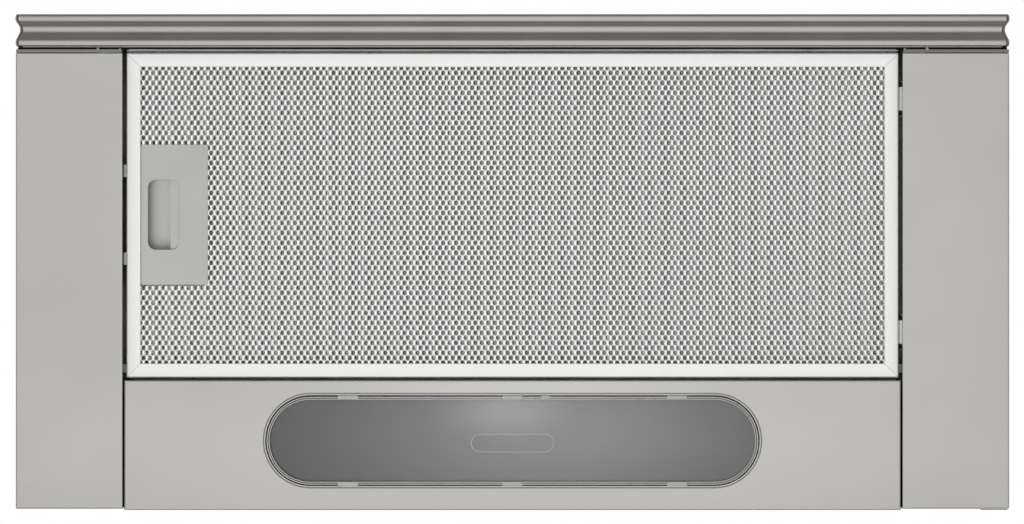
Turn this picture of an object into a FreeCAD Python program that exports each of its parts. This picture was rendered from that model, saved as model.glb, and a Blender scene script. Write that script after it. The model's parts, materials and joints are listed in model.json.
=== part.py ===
import FreeCAD, Part
import math
import os

# Pull-out cooker hood for a 600 mm wall cabinet, drawer shut.
# Millimetres. X runs along the width with +X at the user's right, -Y is the front, +Z is up.
# The origin is below the middle of the hood, on the plane of its underside.

# Whole hood
hood_width = 598.0
hood_depth = 298.5
hood_height = 180.0
base_height = 38.0
running_gap = 0.3
cut_over = 2.0
front_y = -hood_depth / 2
rear_y = hood_depth / 2
half_width = hood_width / 2

# Sheet metal
panel_sheet = 0.8
body_sheet = 1.0
bend_radius = 1.0

# Trim bar: two beads with a cove between them, and the same curve returned at both ends
trim_depth = 19.3
trim_wall = 1.6
front_bead_offset = 2.5
front_bead_radius = 5.0
cove_offset = 9.3
cove_radius = 6.0
rear_bead_offset = 17.1
rear_bead_radius = 5.6
ogee_slope_deg = 22.0
cap_thickness = 1.6
cap_plug_length = 12.0
trim_rear_y = front_y + trim_depth

# Gaps seen from below
filter_side_gap = 2.4
lamp_panel_side_gap = 1.0
lamp_panel_depth = 78.3
filter_rear_gap = 1.5
filter_front_gap = 3.0

# Side panels
side_panel_width = 64.3
side_panel_front_setback = 3.75
side_panel_rear_inset = 0.75
hem_width = 7.0
panel_inner_x = half_width - side_panel_width
panel_front_y = trim_rear_y + side_panel_front_setback
panel_rear_y = rear_y - side_panel_rear_inset

# Drawer: front plate, side arms, top plate
drawer_sheet = 1.0
arm_gap = 1.3
arm_bottom = 2.5
arm_top = 35.0
arm_tail_bottom = 10.0
arm_tail_top = 28.0
arm_tail_rear_inset = 24.5
front_plate_bottom = 9.4
front_plate_top = 36.0
ledge_width = 5.2
ledge_height = 9.4
ledge_flange_setback = 1.25
ledge_flange_sheet = 0.6
rear_bar_height = 5.0
arm_inner_x = panel_inner_x + arm_gap
arm_outer_x = arm_inner_x + drawer_sheet
front_plate_rear_y = trim_rear_y + drawer_sheet
arm_tail_rear_y = panel_rear_y - arm_tail_rear_inset

# Drawer slides
slide_thickness = 12.2
slide_height = 24.0
slide_mid_z = 19.0
slide_sheet = 1.2
inner_member_height = 14.0
inner_member_lip = 6.8
inner_member_setback = 2.0
outer_member_setback = 6.95
outer_member_rear_inset = 20.5
outer_member_lip = 9.4
ball_radius = 1.7
ball_count = 5
cage_sheet = 0.8
cage_length = 60.0
cage_lip = 6.3
cage_web_gap = 1.9
cage_offset = 2.0
outer_member_x = arm_outer_x + slide_thickness
outer_member_front_y = front_plate_rear_y + outer_member_setback
outer_member_rear_y = panel_rear_y - outer_member_rear_inset
cage_middle_y = (outer_member_front_y + outer_member_rear_y) / 2 - cage_offset

# Grease filter in the drawer
filter_thickness = 9.0
filter_frame_lip = 8.5
filter_frame_wall = 1.0
filter_edge_radius = 0.9
filter_mesh_sheet = 0.9
mesh_columns = 23
mesh_rows = 12
mesh_hole_share = 0.72
pleat_count = 44
pleat_sheet = 0.5
filter_half_width = panel_inner_x - filter_side_gap
filter_front_y = front_plate_rear_y + filter_front_gap
filter_rear_y = rear_y - lamp_panel_depth - filter_rear_gap
filter_depth = filter_rear_y - filter_front_y

# Latch of the drawer filter
latch_width = 40.1
latch_depth = 84.3
latch_middle_share = 0.498
latch_side_gap = 0.4
latch_corner_radius = 1.0
latch_floor = 1.5
latch_wall = 1.2
latch_inset = 0.4
latch_height = 5.9
window_width = 19.0
window_depth = 42.2
window_corner_radius = 4.8
window_side = 4.0
cup_wall = 0.8
cup_depth_above_floor = 4.6
slider_thickness = 2.4
slider_lift = 0.3
slider_travel = 4.0
grip_offset = 13.4
grip_width = 10.4
grip_overlap = 0.6
grip_floor = 0.9
slider_bar_width = 9.6
prong_width = 7.4
prong_half_spacing = 26.4
prong_reach = 2.1
latch_spring_radius = 1.0
latch_spring_wire = 0.35
latch_spring_half_spacing = 12.0

# Hinge tabs of the drawer filter
hinge_offset = 1.9
hinge_z = 3.6
hinge_barrel_radius = 1.4
hinge_barrel_length = 14.0
hinge_pin_radius = 0.8
hinge_pin_length = 21.0
hinge_clearance = 0.06
hinge_lug_thickness = 3.0
hinge_lug_radius = 1.6
hinge_tab_thickness = 1.8
hinge_end_inset = 27.4
hinge_x = filter_half_width + hinge_offset
hinge_middle_y = (filter_front_y + filter_rear_y) / 2
hinge_half_spacing = filter_depth / 2 - hinge_end_inset

# Lamp panel and its long lens
lamp_panel_lip = 9.0
lens_length = 296.4
lens_width = 53.4
lens_middle_inset = 41.9
lens_gap = 0.6
lens_lip_height = 3.0
lens_ledge_depth = 1.0
lens_rim_radius = 0.9
lens_recess = 0.3
lens_wall = 2.5
lens_height = 5.6
lens_mark_length = 50.0
lens_mark_width = 11.0
lens_mark_line = 0.7
lens_mark_depth = 0.4
lens_mark_offset = 1.5
clip_width = 13.5
clip_spacing = 99.0
clip_height = 2.0
clip_reach = 1.3
clip_pad_width = 9.0
clip_pad_bottom = 1.3
clip_pad_clearance = 0.12
lens_gate_x = 19.9
lens_gate_width = 5.4
lens_middle_y = rear_y - lens_middle_inset
lamp_panel_front_y = rear_y - lamp_panel_depth
lamp_panel_half_width = panel_inner_x - lamp_panel_side_gap

# Lamp tray, holders and lamps
tray_overhang = 27.0
tray_depth = 66.0
tray_top = 35.2
tray_foot = 5.0
lamp_axis_z = 20.0
lamp_holder_radius = 13.5
lamp_holder_length = 30.0
lamp_cap_radius = 6.8
lamp_cap_length = 22.0
lamp_neck_length = 8.0
lamp_glass_radius = 12.3
lamp_glass_length = 58.0
lamp_clearance = 0.3
tray_width = lens_length + tray_overhang

# Base plate, which carries the slides, the casing and the second filter
inner_filter_gap = 0.8
rail_foot_width = 12.0
rear_flange_height = 12.0
rear_flange_side_inset = 2.0

# Second grease filter
inner_filter_width = 410.0
inner_filter_thickness = 8.0
inner_filter_drop = 0.7
inner_filter_front_inset = 27.95
inner_filter_rear_inset = 11.45
inner_frame_width = 9.0
inner_frame_wall = 1.0
inner_mesh_columns = 20
inner_mesh_rows = 8
tongue_width = 16.0
tongue_reach = 5.0
tongue_thickness = 1.2
tongue_half_spacing = 130.0
inner_slider_width = 24.0
inner_slider_length = 16.0
inner_slider_travel = 5.0
inner_slider_reach = 4.2
inner_thumb_width = 16.0
inner_thumb_length = 3.0
inner_latch_block_width = 36.0
inner_latch_block_length = 26.0
inner_thumb_slot_clearance = 0.5
inner_filter_front_y = filter_front_y + inner_filter_front_inset
inner_filter_rear_y = filter_rear_y - inner_filter_rear_inset

# Upper casing
casing_side_inset = 34.0
casing_front_setback = 39.25
casing_sheet = 0.8
casing_flange = 10.0
cabinet_hole_radius = 2.75
cabinet_side_inset = 35.0
cabinet_spacing_y = 190.0
cabinet_offset = 0.15
collar_length = 31.2
casing_top = hood_height - collar_length
casing_width = hood_width - casing_side_inset * 2
cabinet_spacing_x = casing_width - cabinet_side_inset * 2
casing_front_y = front_y + casing_front_setback
casing_rear_y = panel_rear_y - panel_sheet
casing_middle_y = (casing_front_y + casing_rear_y) / 2
cabinet_middle_y = casing_middle_y + cabinet_offset

# Blower, as large as the room between the second filter and the casing's top allows
blower_offset = 16.15
blower_floor_gap = 1.7
scroll_wall = 2.0
scroll_bottom_gap = 12.0
scroll_rear_gap = 7.0
scroll_front_gap = 18.0
scroll_tongue_gap = 3.0
scroll_half_length = 53.0
blade_chord = 8.0
blade_thickness = 0.8
blade_count = 30
blade_lean = 30.0
impeller_half_length = 50.0
impeller_ring = 2.0
blower_floor_z = base_height - body_sheet - inner_filter_drop + inner_filter_thickness + blower_floor_gap
blower_y = casing_middle_y + blower_offset
scroll_bottom_radius = (casing_top - casing_sheet - blower_floor_z - scroll_wall) / 2
scroll_rear_radius = scroll_bottom_radius - scroll_bottom_gap + scroll_rear_gap
scroll_front_radius = scroll_bottom_radius - scroll_bottom_gap + scroll_front_gap
impeller_radius = scroll_bottom_radius - scroll_bottom_gap
blower_z = blower_floor_z + scroll_wall + scroll_bottom_radius
hub_radius = 8.0
hub_length = 12.0
inlet_radius = impeller_radius - blade_chord
guard_width = 6.0
guard_rib = 2.5
guard_thickness = 2.0
guard_rib_count = 3
motor_air_gap = 8.0
motor_radius = inlet_radius - motor_air_gap
motor_start = 6.0
motor_boss_radius = 9.0
motor_boss_length = 3.0
motor_end_wall = 2.0
shaft_radius = 3.0
shaft_clearance = 0.06
bracket_hub_radius = 15.0
bracket_arm_width = 8.0
bracket_arm_count = 3
bracket_overlap = 8.0
bracket_reach = inlet_radius + bracket_overlap
capacitor_radius = 14.0
capacitor_height = 52.0
capacitor_side_inset = 40.0
capacitor_rear_inset = 39.7
capacitor_stud_radius = 4.0
capacitor_nut_height = 4.0
capacitor_nut_radius = 7.0
capacitor_x = capacitor_side_inset - casing_width / 2
capacitor_y = casing_rear_y - capacitor_rear_inset

# Outlet collar and damper
collar_radius = 60.0
collar_wall = 2.0
collar_flange_radius = 74.0
collar_flange_thickness = 2.0
collar_lip = 3.0
collar_screw_circle = 67.5
collar_screw_count = 4
flap_thickness = 1.0
flap_rim_gap = 0.7
damper_pin_radius = 1.5
damper_pin_height = 4.1
damper_pin_seat = 0.9
knuckle_radius = 2.8
knuckle_clearance = 0.06
knuckle_length = 14.0
front_knuckle_start = 20.0
rear_knuckle_start = 36.0
flap_axis_gap = 3.3

# Screws
screw_radius = 1.9
screw_head_radius = 3.6
screw_head_height = 2.2
screw_hole_clearance = 0.2
screw_reach = 6.0
trim_screw_xs_share = (-0.75, -0.28, 0.28, 0.75)
trim_screw_z = 22.0

# Terminal box and cable gland
terminal_width = 60.0
terminal_depth = 46.0
terminal_height = 30.0
terminal_wall = 2.0
terminal_side_inset = 45.0
terminal_rear_inset = 35.7
terminal_x = casing_width / 2 - terminal_side_inset
terminal_y = casing_rear_y - terminal_rear_inset
gland_flange_radius = 9.0
gland_flange_height = 7.0
gland_body_radius = 6.0
gland_bore_radius = 3.8
gland_nut_height = 4.0

# Controls at the right front, behind the trim
edge_piece_gap = 1.1
edge_piece_bottom = 0.4
edge_piece_top = 35.0
edge_piece_rear_gap = 0.1
edge_border = 3.4
edge_recess = 0.8
edge_front_gap = 1.85
edge_toe_top = 1.6
edge_toe_gap = 0.4
edge_end_gap = 0.3
edge_lip_height = 2.0
edge_lip_bottom = 6.0
edge_lip_gap = 0.15
switch_block_depth = 20.0
switch_block_inset = 5.0
speed_slider_z = 24.6
light_slider_z = 12.6
speed_slider_travel = 18.0
light_slider_travel = 6.0
button_width = 8.0
button_height = 6.0
button_depth = 1.3
stem_width = 4.0
stem_height = 2.4
stem_length = 8.0
slot_clearance = 0.4
button_start_inset = 9.0

# Drawer microswitch and rear pad
switch_depth = 18.0
switch_height = 16.0
switch_plunger_gap = 0.5
switch_plunger_length = 2.6
switch_plunger_width = 4.0
pad_width = 16.0
pad_bottom = 4.0
pad_top = 30.0


def vec(x, y, z):
    return FreeCAD.Vector(x, y, z)


def box(x0, x1, y0, y1, z0, z1):
    """A box between two planes on each axis."""
    low = vec(min(x0, x1), min(y0, y1), min(z0, z1))
    return Part.makeBox(abs(x1 - x0), abs(y1 - y0), abs(z1 - z0), low)


def rod(radius, start, end):
    """A round rod from one point to another."""
    along = end.sub(start)
    return Part.makeCylinder(radius, along.Length, start, along)


def fused(shapes):
    return shapes[0].multiFuse(shapes[1:]).removeSplitter()


def cut_all(shape, tools):
    return shape.cut(Part.makeCompound(tools)) if tools else shape


def at_left(shape):
    """The same piece on the other side of the hood."""
    return shape.mirror(vec(0, 0, 0), vec(1, 0, 0))


def prism(points, along):
    """A straight-sided outline pushed along a vector."""
    wire = Part.makePolygon(points + [points[0]])
    return Part.Face(wire).extrude(along)


def rounded_plate(x0, x1, y0, y1, z0, z1, radius):
    """A plate whose four upright corners are rounded."""
    plate = box(x0, x1, y0, y1, z0, z1)
    upright = [e for e in plate.Edges if abs(e.tangentAt(e.FirstParameter).z) > 1 / 2]
    return plate.makeFillet(radius, upright)


def stadium(length, width, middle_y, z0, z1):
    """A plate with half-round ends, along X."""
    radius = width / 2
    reach = length / 2 - radius
    middle = box(-reach, reach, middle_y - radius, middle_y + radius, z0, z1)
    ends = [rod(radius, vec(x, middle_y, z0), vec(x, middle_y, z1)) for x in (-reach, reach)]
    return fused([middle] + ends)


def save(name, shape):
    """Write one named piece, and say so if it isn't closed and valid."""
    if not shape.isValid() or not shape.Solids:
        print("NOT VALID", name)
    if any(not solid.isClosed() for solid in shape.Solids):
        print("NOT CLOSED", name)
    shape.exportStep(os.path.join("parts", name + ".step"))
    print(name, len(shape.Solids), "solids", round(shape.Volume / 1000, 2), "cm3")


# Trim bar


def cove_height():
    """The cove's rise above the rear bead, by the straight slope that joins the two."""
    turn = math.radians(ogee_slope_deg)
    arcs = cove_radius + rear_bead_radius
    slope_length = rear_bead_offset - cove_offset - arcs * math.sin(turn)
    return arcs * (1 - math.cos(turn)) + slope_length * math.tan(turn)


def moulding_edges(place):
    """Bead, cove, slope and bead from front to rear; place turns a depth and a rise into a point."""
    high = cove_height()
    reach = cove_radius + front_bead_radius
    front_turn = math.asin((cove_offset - front_bead_offset) / reach)
    front_height = high - reach * (1 - math.cos(front_turn))
    slope = math.radians(ogee_slope_deg)
    front_start = -math.asin(front_bead_offset / front_bead_radius)
    rear_end = math.asin((trim_depth - rear_bead_offset) / rear_bead_radius)

    def arc(offset, height, radius, start, end, hollow):
        points = []
        for turn in (start, (start + end) / 2, end):
            rise = radius * (1 - math.cos(turn))
            points.append(place(offset + radius * math.sin(turn), height + (-rise if hollow else rise)))
        return Part.Arc(*points).toShape()

    front = arc(front_bead_offset, front_height, front_bead_radius, front_start, front_turn, False)
    cove = arc(cove_offset, high, cove_radius, -front_turn, slope, True)
    rear = arc(rear_bead_offset, 0, rear_bead_radius, -slope, rear_end, False)
    ramp = Part.makeLine(cove.Vertexes[-1].Point, rear.Vertexes[0].Point)
    return [front, cove, ramp, rear]


def moulded_block(inset):
    """A block across the hood whose underside follows the moulding, and whose two ends do too."""

    def below(depth, rise):
        return vec(-half_width - cut_over, front_y + depth, rise)

    def closed(edges, back_a, back_b):
        ends = [edges[0].Vertexes[0].Point, edges[-1].Vertexes[-1].Point]
        back = Part.makePolygon([ends[1], back_b, back_a, ends[0]])
        return Part.Face(Part.Wire(Part.__sortEdges__(edges + back.Edges)))

    section = closed(
        moulding_edges(below),
        vec(-half_width - cut_over, front_y, base_height),
        vec(-half_width - cut_over, trim_rear_y, base_height),
    )
    bar = section.extrude(vec(hood_width + cut_over * 2, 0, 0))

    def end(depth, rise):
        return vec(half_width - inset - rise, front_y + depth, -cut_over)

    plan = closed(moulding_edges(end), vec(0, front_y, -cut_over), vec(0, trim_rear_y, -cut_over))
    right = plan.extrude(vec(0, 0, base_height + cut_over * 2))
    right = bar.common(right)
    return right, at_left(right)


def trim_pieces():
    """The bar, hollow from end to end, and its right end cap with a plug."""
    outer_right = moulded_block(0)[0]
    inner_right, inner_left = moulded_block(cap_thickness)
    hollow_bottom = cove_height() + trim_wall
    hollow = box(
        -half_width, half_width,
        front_y + trim_wall, trim_rear_y - trim_wall,
        hollow_bottom, base_height - trim_wall,
    )
    bar = fused([inner_right, inner_left]).cut(hollow)
    bar = cut_all(bar, trim_screw_rods(screw_radius, trim_rear_y - trim_wall - cut_over))
    cap = outer_right.cut(inner_right)
    cap_back_x = half_width - cap_thickness
    plug = box(
        cap_back_x - cap_plug_length, cap_back_x,
        front_y + trim_wall + running_gap, trim_rear_y - trim_wall - running_gap,
        hollow_bottom + running_gap, base_height - trim_wall - running_gap,
    )
    plug_hollow = box(
        cap_back_x - cap_plug_length - cut_over, cap_back_x - cove_height() - trim_wall,
        front_y + trim_wall * 2 + running_gap, trim_rear_y - trim_wall * 2 - running_gap,
        hollow_bottom + trim_wall + running_gap, base_height - trim_wall * 2 - running_gap,
    )
    cap = fused([cap, plug.common(inner_right).cut(plug_hollow)])
    return bar, cap


def trim_screw_rods(radius, from_y):
    """Rods through the drawer's front plate into the rear of the trim bar."""
    rods = []
    for share in trim_screw_xs_share:
        x = share * arm_inner_x
        rods.append(rod(radius, vec(x, from_y, trim_screw_z), vec(x, front_plate_rear_y, trim_screw_z)))
    return rods


def trim_screws():
    """Four screws with their heads inside the drawer."""
    screws = []
    tip_y = front_plate_rear_y - screw_reach
    for share, shank in zip(trim_screw_xs_share, trim_screw_rods(screw_radius, tip_y)):
        x = share * arm_inner_x
        head_start = vec(x, front_plate_rear_y, trim_screw_z)
        head_end = vec(x, front_plate_rear_y + screw_head_height, trim_screw_z)
        screws.append(fused([shank, rod(screw_head_radius, head_start, head_end)]))
    return Part.makeCompound(screws)


# Drawer


def drawer_front():
    """The plate behind the trim, with the ledge that the filter shuts against and its stiffening flange."""
    half = outer_member_x + body_sheet
    plate = box(-half, half, trim_rear_y, front_plate_rear_y, front_plate_bottom, front_plate_top)
    ledge = box(
        -filter_half_width, filter_half_width,
        front_plate_rear_y - drawer_sheet, front_plate_rear_y + ledge_width,
        ledge_height, ledge_height + drawer_sheet,
    )
    flange_y = front_plate_rear_y + ledge_flange_setback
    flange = box(
        -filter_half_width, filter_half_width, flange_y, flange_y + ledge_flange_sheet,
        arm_bottom, ledge_height,
    )
    hole_radius = screw_radius + screw_hole_clearance
    return cut_all(fused([plate, ledge, flange]), trim_screw_rods(hole_radius, trim_rear_y - cut_over))


def drawer_arm():
    """The right side arm, with a long tail that carries the slide."""
    bar_rear_y = filter_rear_y - ledge_width / 2
    web = box(arm_inner_x, arm_outer_x, front_plate_rear_y, bar_rear_y, arm_bottom, arm_top)
    tail = box(
        arm_inner_x, arm_outer_x,
        bar_rear_y - drawer_sheet, arm_tail_rear_y,
        arm_tail_bottom, arm_tail_top,
    )
    return fused([web, tail])


def hinge_lugs():
    """Two pairs of ears on the right arm, which hold the pins of the filter's hinge tabs."""
    ears = []
    for side in (-1, 1):
        middle = hinge_middle_y + side * hinge_half_spacing
        for end in (-1, 1):
            inner = middle + end * (hinge_barrel_length / 2 + running_gap)
            outer = inner + end * hinge_lug_thickness
            block = box(
                hinge_x, arm_inner_x, inner, outer,
                hinge_z - hinge_lug_radius, hinge_z + hinge_lug_radius,
            )
            nose = rod(hinge_lug_radius, vec(hinge_x, inner, hinge_z), vec(hinge_x, outer, hinge_z))
            bore = rod(
                hinge_pin_radius + hinge_clearance,
                vec(hinge_x, inner - end * cut_over, hinge_z),
                vec(hinge_x, outer + end * cut_over, hinge_z),
            )
            ears.append(fused([block, nose]).cut(bore))
    return ears


def drawer_top():
    """The plate over the filter, which the second filter's air passes behind."""
    rear = filter_rear_y - ledge_width / 2
    return box(-arm_inner_x, arm_inner_x, front_plate_rear_y, rear, arm_top - drawer_sheet, arm_top)


def drawer_rear_bar():
    """The low angle that ties the two arms together behind the filter."""
    rear = filter_rear_y - ledge_width / 2
    upright = box(
        -arm_inner_x, arm_inner_x, rear - drawer_sheet, rear,
        ledge_height, ledge_height + rear_bar_height,
    )
    ledge = box(
        -arm_inner_x, arm_inner_x, rear - ledge_width, rear,
        ledge_height, ledge_height + drawer_sheet,
    )
    return fused([upright, ledge])


# Drawer slides, all drawn for the right side


def channel(x_web, x_lip, y0, y1, height, sheet):
    """A channel along Y whose upright web is at one side and whose lips reach to the other."""
    outward = 1 if x_lip > x_web else -1
    low = slide_mid_z - height / 2
    high = slide_mid_z + height / 2
    body = box(x_web, x_lip, y0, y1, low, high)
    hollow = box(x_web + outward * sheet, x_lip + outward * cut_over,
                 y0 - cut_over, y1 + cut_over, low + sheet, high - sheet)
    return body.cut(hollow)


def rail_inner():
    """The member that the drawer's arm carries."""
    return channel(
        arm_outer_x, arm_outer_x + inner_member_lip,
        front_plate_rear_y + inner_member_setback, arm_tail_rear_y,
        inner_member_height, slide_sheet,
    )


def rail_outer():
    """The member that the base plate's flange carries."""
    return channel(
        outer_member_x, outer_member_x - outer_member_lip,
        outer_member_front_y, outer_member_rear_y, slide_height, slide_sheet,
    )


def ball_cage():
    """A strip bent to a channel, with two rows of balls that it carries between the members."""
    web_x = outer_member_x - slide_sheet - cage_web_gap
    y0 = cage_middle_y - cage_length / 2
    y1 = cage_middle_y + cage_length / 2
    inner_top = slide_mid_z + inner_member_height / 2
    outer_low = slide_mid_z + slide_height / 2 - slide_sheet
    ball_offset = (inner_top + outer_low) / 2 - slide_mid_z
    height = ball_offset * 2 + cage_sheet
    strip = channel(web_x, web_x - cage_lip, y0, y1, height, cage_sheet)
    ball_x = arm_outer_x + inner_member_lip - ball_radius - running_gap
    balls = []
    for i in range(ball_count):
        y = y0 + cage_length * (i + 1 / 2) / ball_count
        for side in (-1, 1):
            balls.append(Part.makeSphere(ball_radius, vec(ball_x, y, slide_mid_z + side * ball_offset)))
    return fused([strip] + balls)


# Grease filter of the drawer


def filter_frame():
    """One channel strip bent round four mitred corners."""
    outer = box(-filter_half_width, filter_half_width, filter_front_y, filter_rear_y, 0, filter_thickness)
    bottom = [e for e in outer.Edges if e.BoundBox.ZMax < filter_frame_wall]
    outer = outer.makeFillet(filter_edge_radius, bottom)
    wall = filter_frame_wall
    channel_space = box(
        -filter_half_width + wall, filter_half_width - wall,
        filter_front_y + wall, filter_rear_y - wall,
        wall, filter_thickness - wall,
    )
    lip = filter_frame_lip
    window = box(
        -filter_half_width + lip, filter_half_width - lip,
        filter_front_y + lip, filter_rear_y - lip,
        -cut_over, filter_thickness + cut_over,
    )
    slots = []
    for y in prong_ys():
        slots.append(box(
            -filter_half_width - cut_over, -filter_half_width + wall + cut_over,
            y - prong_width / 2 - running_gap, y + prong_width / 2 + running_gap,
            slider_bottom() - running_gap, slider_bottom() + slider_thickness + running_gap,
        ))
    return cut_all(outer.cut(channel_space).cut(window), slots)


def mesh_sheet(x0, x1, y0, y1, z0, z1, margin, columns, rows):
    """A sheet of expanded metal, as one holed face with large diamonds in offset rows."""
    pitch_x = (x1 - x0 - margin * 2) / columns
    pitch_y = (y1 - y0 - margin * 2) / rows
    reach_x = pitch_x / 2 * mesh_hole_share
    reach_y = pitch_y * mesh_hole_share
    sheet_corners = [vec(x0, y0, z0), vec(x1, y0, z0), vec(x1, y1, z0), vec(x0, y1, z0)]
    outline = Part.makePolygon(sheet_corners + [sheet_corners[0]])
    holes = []
    for row in range(rows - 1):
        shift = (row % 2) / 2
        for column in range(columns - row % 2):
            x = x0 + margin + pitch_x * (column + 1 / 2 + shift)
            y = y0 + margin + pitch_y * (row + 1)
            corners = [
                vec(x - reach_x, y, z0), vec(x, y - reach_y, z0),
                vec(x + reach_x, y, z0), vec(x, y + reach_y, z0),
            ]
            holes.append(Part.makePolygon(corners + [corners[0]]))
    face = Part.makeFace([outline] + holes, "Part::FaceMakerBullseye")
    return face.extrude(vec(0, 0, z1 - z0))


def pleated_sheet(x0, x1, y0, y1, z0, z1, count):
    """A sheet folded up and down between two meshes, its folds along Y."""
    low = []
    high = []
    for i in range(count * 2 + 1):
        x = x0 + (x1 - x0) * i / (count * 2)
        z = z0 if i % 2 == 0 else z1 - pleat_sheet
        low.append(vec(x, y0, z))
        high.append(vec(x, y0, z + pleat_sheet))
    return prism(low + high[::-1], vec(0, y1 - y0, 0))


def latch_x0():
    """The latch plate's edge beside the frame."""
    return -filter_half_width + filter_frame_lip + latch_side_gap


def latch_middle_y():
    return filter_front_y + filter_depth * latch_middle_share


def latch_space(gap):
    """The room that the latch takes out of the mesh and the filling."""
    y = latch_middle_y()
    return box(
        -filter_half_width + filter_frame_wall, latch_x0() + latch_width + gap,
        y - latch_depth / 2 - gap, y + latch_depth / 2 + gap,
        -cut_over, filter_frame_wall + latch_height + running_gap,
    )


def filter_layers():
    """Lower mesh, filling and upper mesh, one on the other inside the frame."""
    inset = filter_frame_wall + running_gap
    x1 = filter_half_width - inset
    y0 = filter_front_y + inset
    y1 = filter_rear_y - inset
    margin = filter_frame_lip
    floor = filter_frame_wall
    roof = filter_thickness - filter_frame_wall
    lower_top = floor + filter_mesh_sheet
    upper_low = roof - filter_mesh_sheet
    lower = mesh_sheet(-x1, x1, y0, y1, floor, lower_top, margin, mesh_columns, mesh_rows)
    upper = mesh_sheet(-x1, x1, y0, y1, upper_low, roof, margin, mesh_columns, mesh_rows)
    filling = pleated_sheet(-x1, x1, y0, y1, lower_top, upper_low, pleat_count)
    room = latch_space(running_gap)
    return lower.cut(room), filling.cut(room), upper


# Latch of the drawer filter


def slider_bottom():
    return filter_frame_wall + latch_floor + slider_lift


def prong_ys():
    return [latch_middle_y() + side * prong_half_spacing for side in (-1, 1)]


def window_x0():
    return latch_x0() + window_side


def window_block(z0, z1, grow):
    """The finger window's outline between two heights."""
    y = latch_middle_y()
    return rounded_plate(
        window_x0() - grow, window_x0() + window_width + grow,
        y - window_depth / 2 - grow, y + window_depth / 2 + grow,
        z0, z1, window_corner_radius + grow,
    )


def latch_housing():
    """The plate with its finger window, low side walls, and the roof of the finger cup."""
    x0 = latch_x0()
    x1 = x0 + latch_width
    y0 = latch_middle_y() - latch_depth / 2
    y1 = latch_middle_y() + latch_depth / 2
    z0 = filter_frame_wall - latch_inset
    z1 = filter_frame_wall + latch_height
    floor_top = filter_frame_wall + latch_floor
    plate = box(x0, x1, y0, y1, z0, z1)
    right_corners = [
        e for e in plate.Edges
        if abs(e.tangentAt(e.FirstParameter).z) > 1 / 2 and e.BoundBox.XMin > (x0 + x1) / 2
    ]
    plate = plate.makeFillet(latch_corner_radius, right_corners)
    hollow = box(
        x0 - cut_over, x1 - latch_wall, y0 + latch_wall, y1 - latch_wall, floor_top, z1 + cut_over
    )
    shell = plate.cut(hollow)
    tuck = box(
        -filter_half_width + filter_frame_wall + running_gap, x0,
        y0 + latch_wall, y1 - latch_wall,
        filter_frame_wall, floor_top,
    )
    window = window_block(z0 - cut_over, floor_top + cut_over, 0)
    grip_x = window_x0() + grip_offset
    grip_half = window_depth / 2 + grip_overlap + running_gap
    pocket = box(
        grip_x - running_gap, grip_x + grip_width + slider_travel + running_gap,
        latch_middle_y() - grip_half, latch_middle_y() + grip_half,
        z0 + grip_floor, floor_top + cut_over,
    )
    shell = fused([shell, tuck]).cut(window).cut(pocket)
    cup_top = filter_frame_wall + latch_floor + cup_depth_above_floor - cup_wall
    roof_y = prong_half_spacing - prong_width / 2 - running_gap
    y = latch_middle_y()
    roof = box(x0 + latch_wall, x1 - latch_wall, y - roof_y, y + roof_y, cup_top, z1)
    cup_wall_x = window_x0() - cup_wall
    left_wall = box(cup_wall_x, window_x0(), y - roof_y, y + roof_y, floor_top - cup_wall, z1)
    end_reach = roof_y - window_depth / 2
    ends = []
    for side in (-1, 1):
        inner = y + side * window_depth / 2
        ends.append(box(
            cup_wall_x, window_x0() + grip_offset - running_gap,
            inner, inner + side * end_reach, floor_top - cup_wall, z1,
        ))
    spring_stop = box(
        x1 - latch_wall * 2, x1 - latch_wall,
        y - roof_y, y + roof_y, floor_top - cup_wall, z1,
    )
    return fused([shell, roof, left_wall, spring_stop] + ends)


def latch_slider():
    """A frame round the cup: two arms that end in prongs, a cross bar and the grip for a finger."""
    z0 = slider_bottom()
    z1 = z0 + slider_thickness
    y = latch_middle_y()
    grip_x = window_x0() + grip_offset
    bar_x1 = grip_x + slider_bar_width
    reach = prong_half_spacing + prong_width / 2
    bar_top = filter_frame_wall + latch_floor + cup_depth_above_floor - cup_wall - running_gap
    bar = box(grip_x, bar_x1, y - reach, y + reach, z0, min(z1, bar_top))
    arms = []
    for prong_y in prong_ys():
        arms.append(box(
            -filter_half_width - prong_reach, bar_x1,
            prong_y - prong_width / 2, prong_y + prong_width / 2, z0, z1,
        ))
    grip_half = window_depth / 2 + grip_overlap
    grip_bottom = filter_frame_wall - latch_inset + grip_floor + running_gap
    grip = box(grip_x, grip_x + grip_width, y - grip_half, y + grip_half, grip_bottom, z0)
    return fused([bar] + arms + [grip])


def latch_springs():
    """Two small springs between the slider's cross bar and the plate's far wall, as plain sleeves."""
    x0 = window_x0() + grip_offset + slider_bar_width
    x1 = latch_x0() + latch_width - latch_wall * 2
    z = slider_bottom() + slider_thickness / 2
    springs = []
    for side in (-1, 1):
        y = latch_middle_y() + side * latch_spring_half_spacing
        sleeve = rod(latch_spring_radius, vec(x0, y, z), vec(x1, y, z))
        bore_radius = latch_spring_radius - latch_spring_wire
        bore = rod(bore_radius, vec(x0 - cut_over, y, z), vec(x1 + cut_over, y, z))
        springs.append(sleeve.cut(bore))
    return Part.makeCompound(springs)


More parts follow.
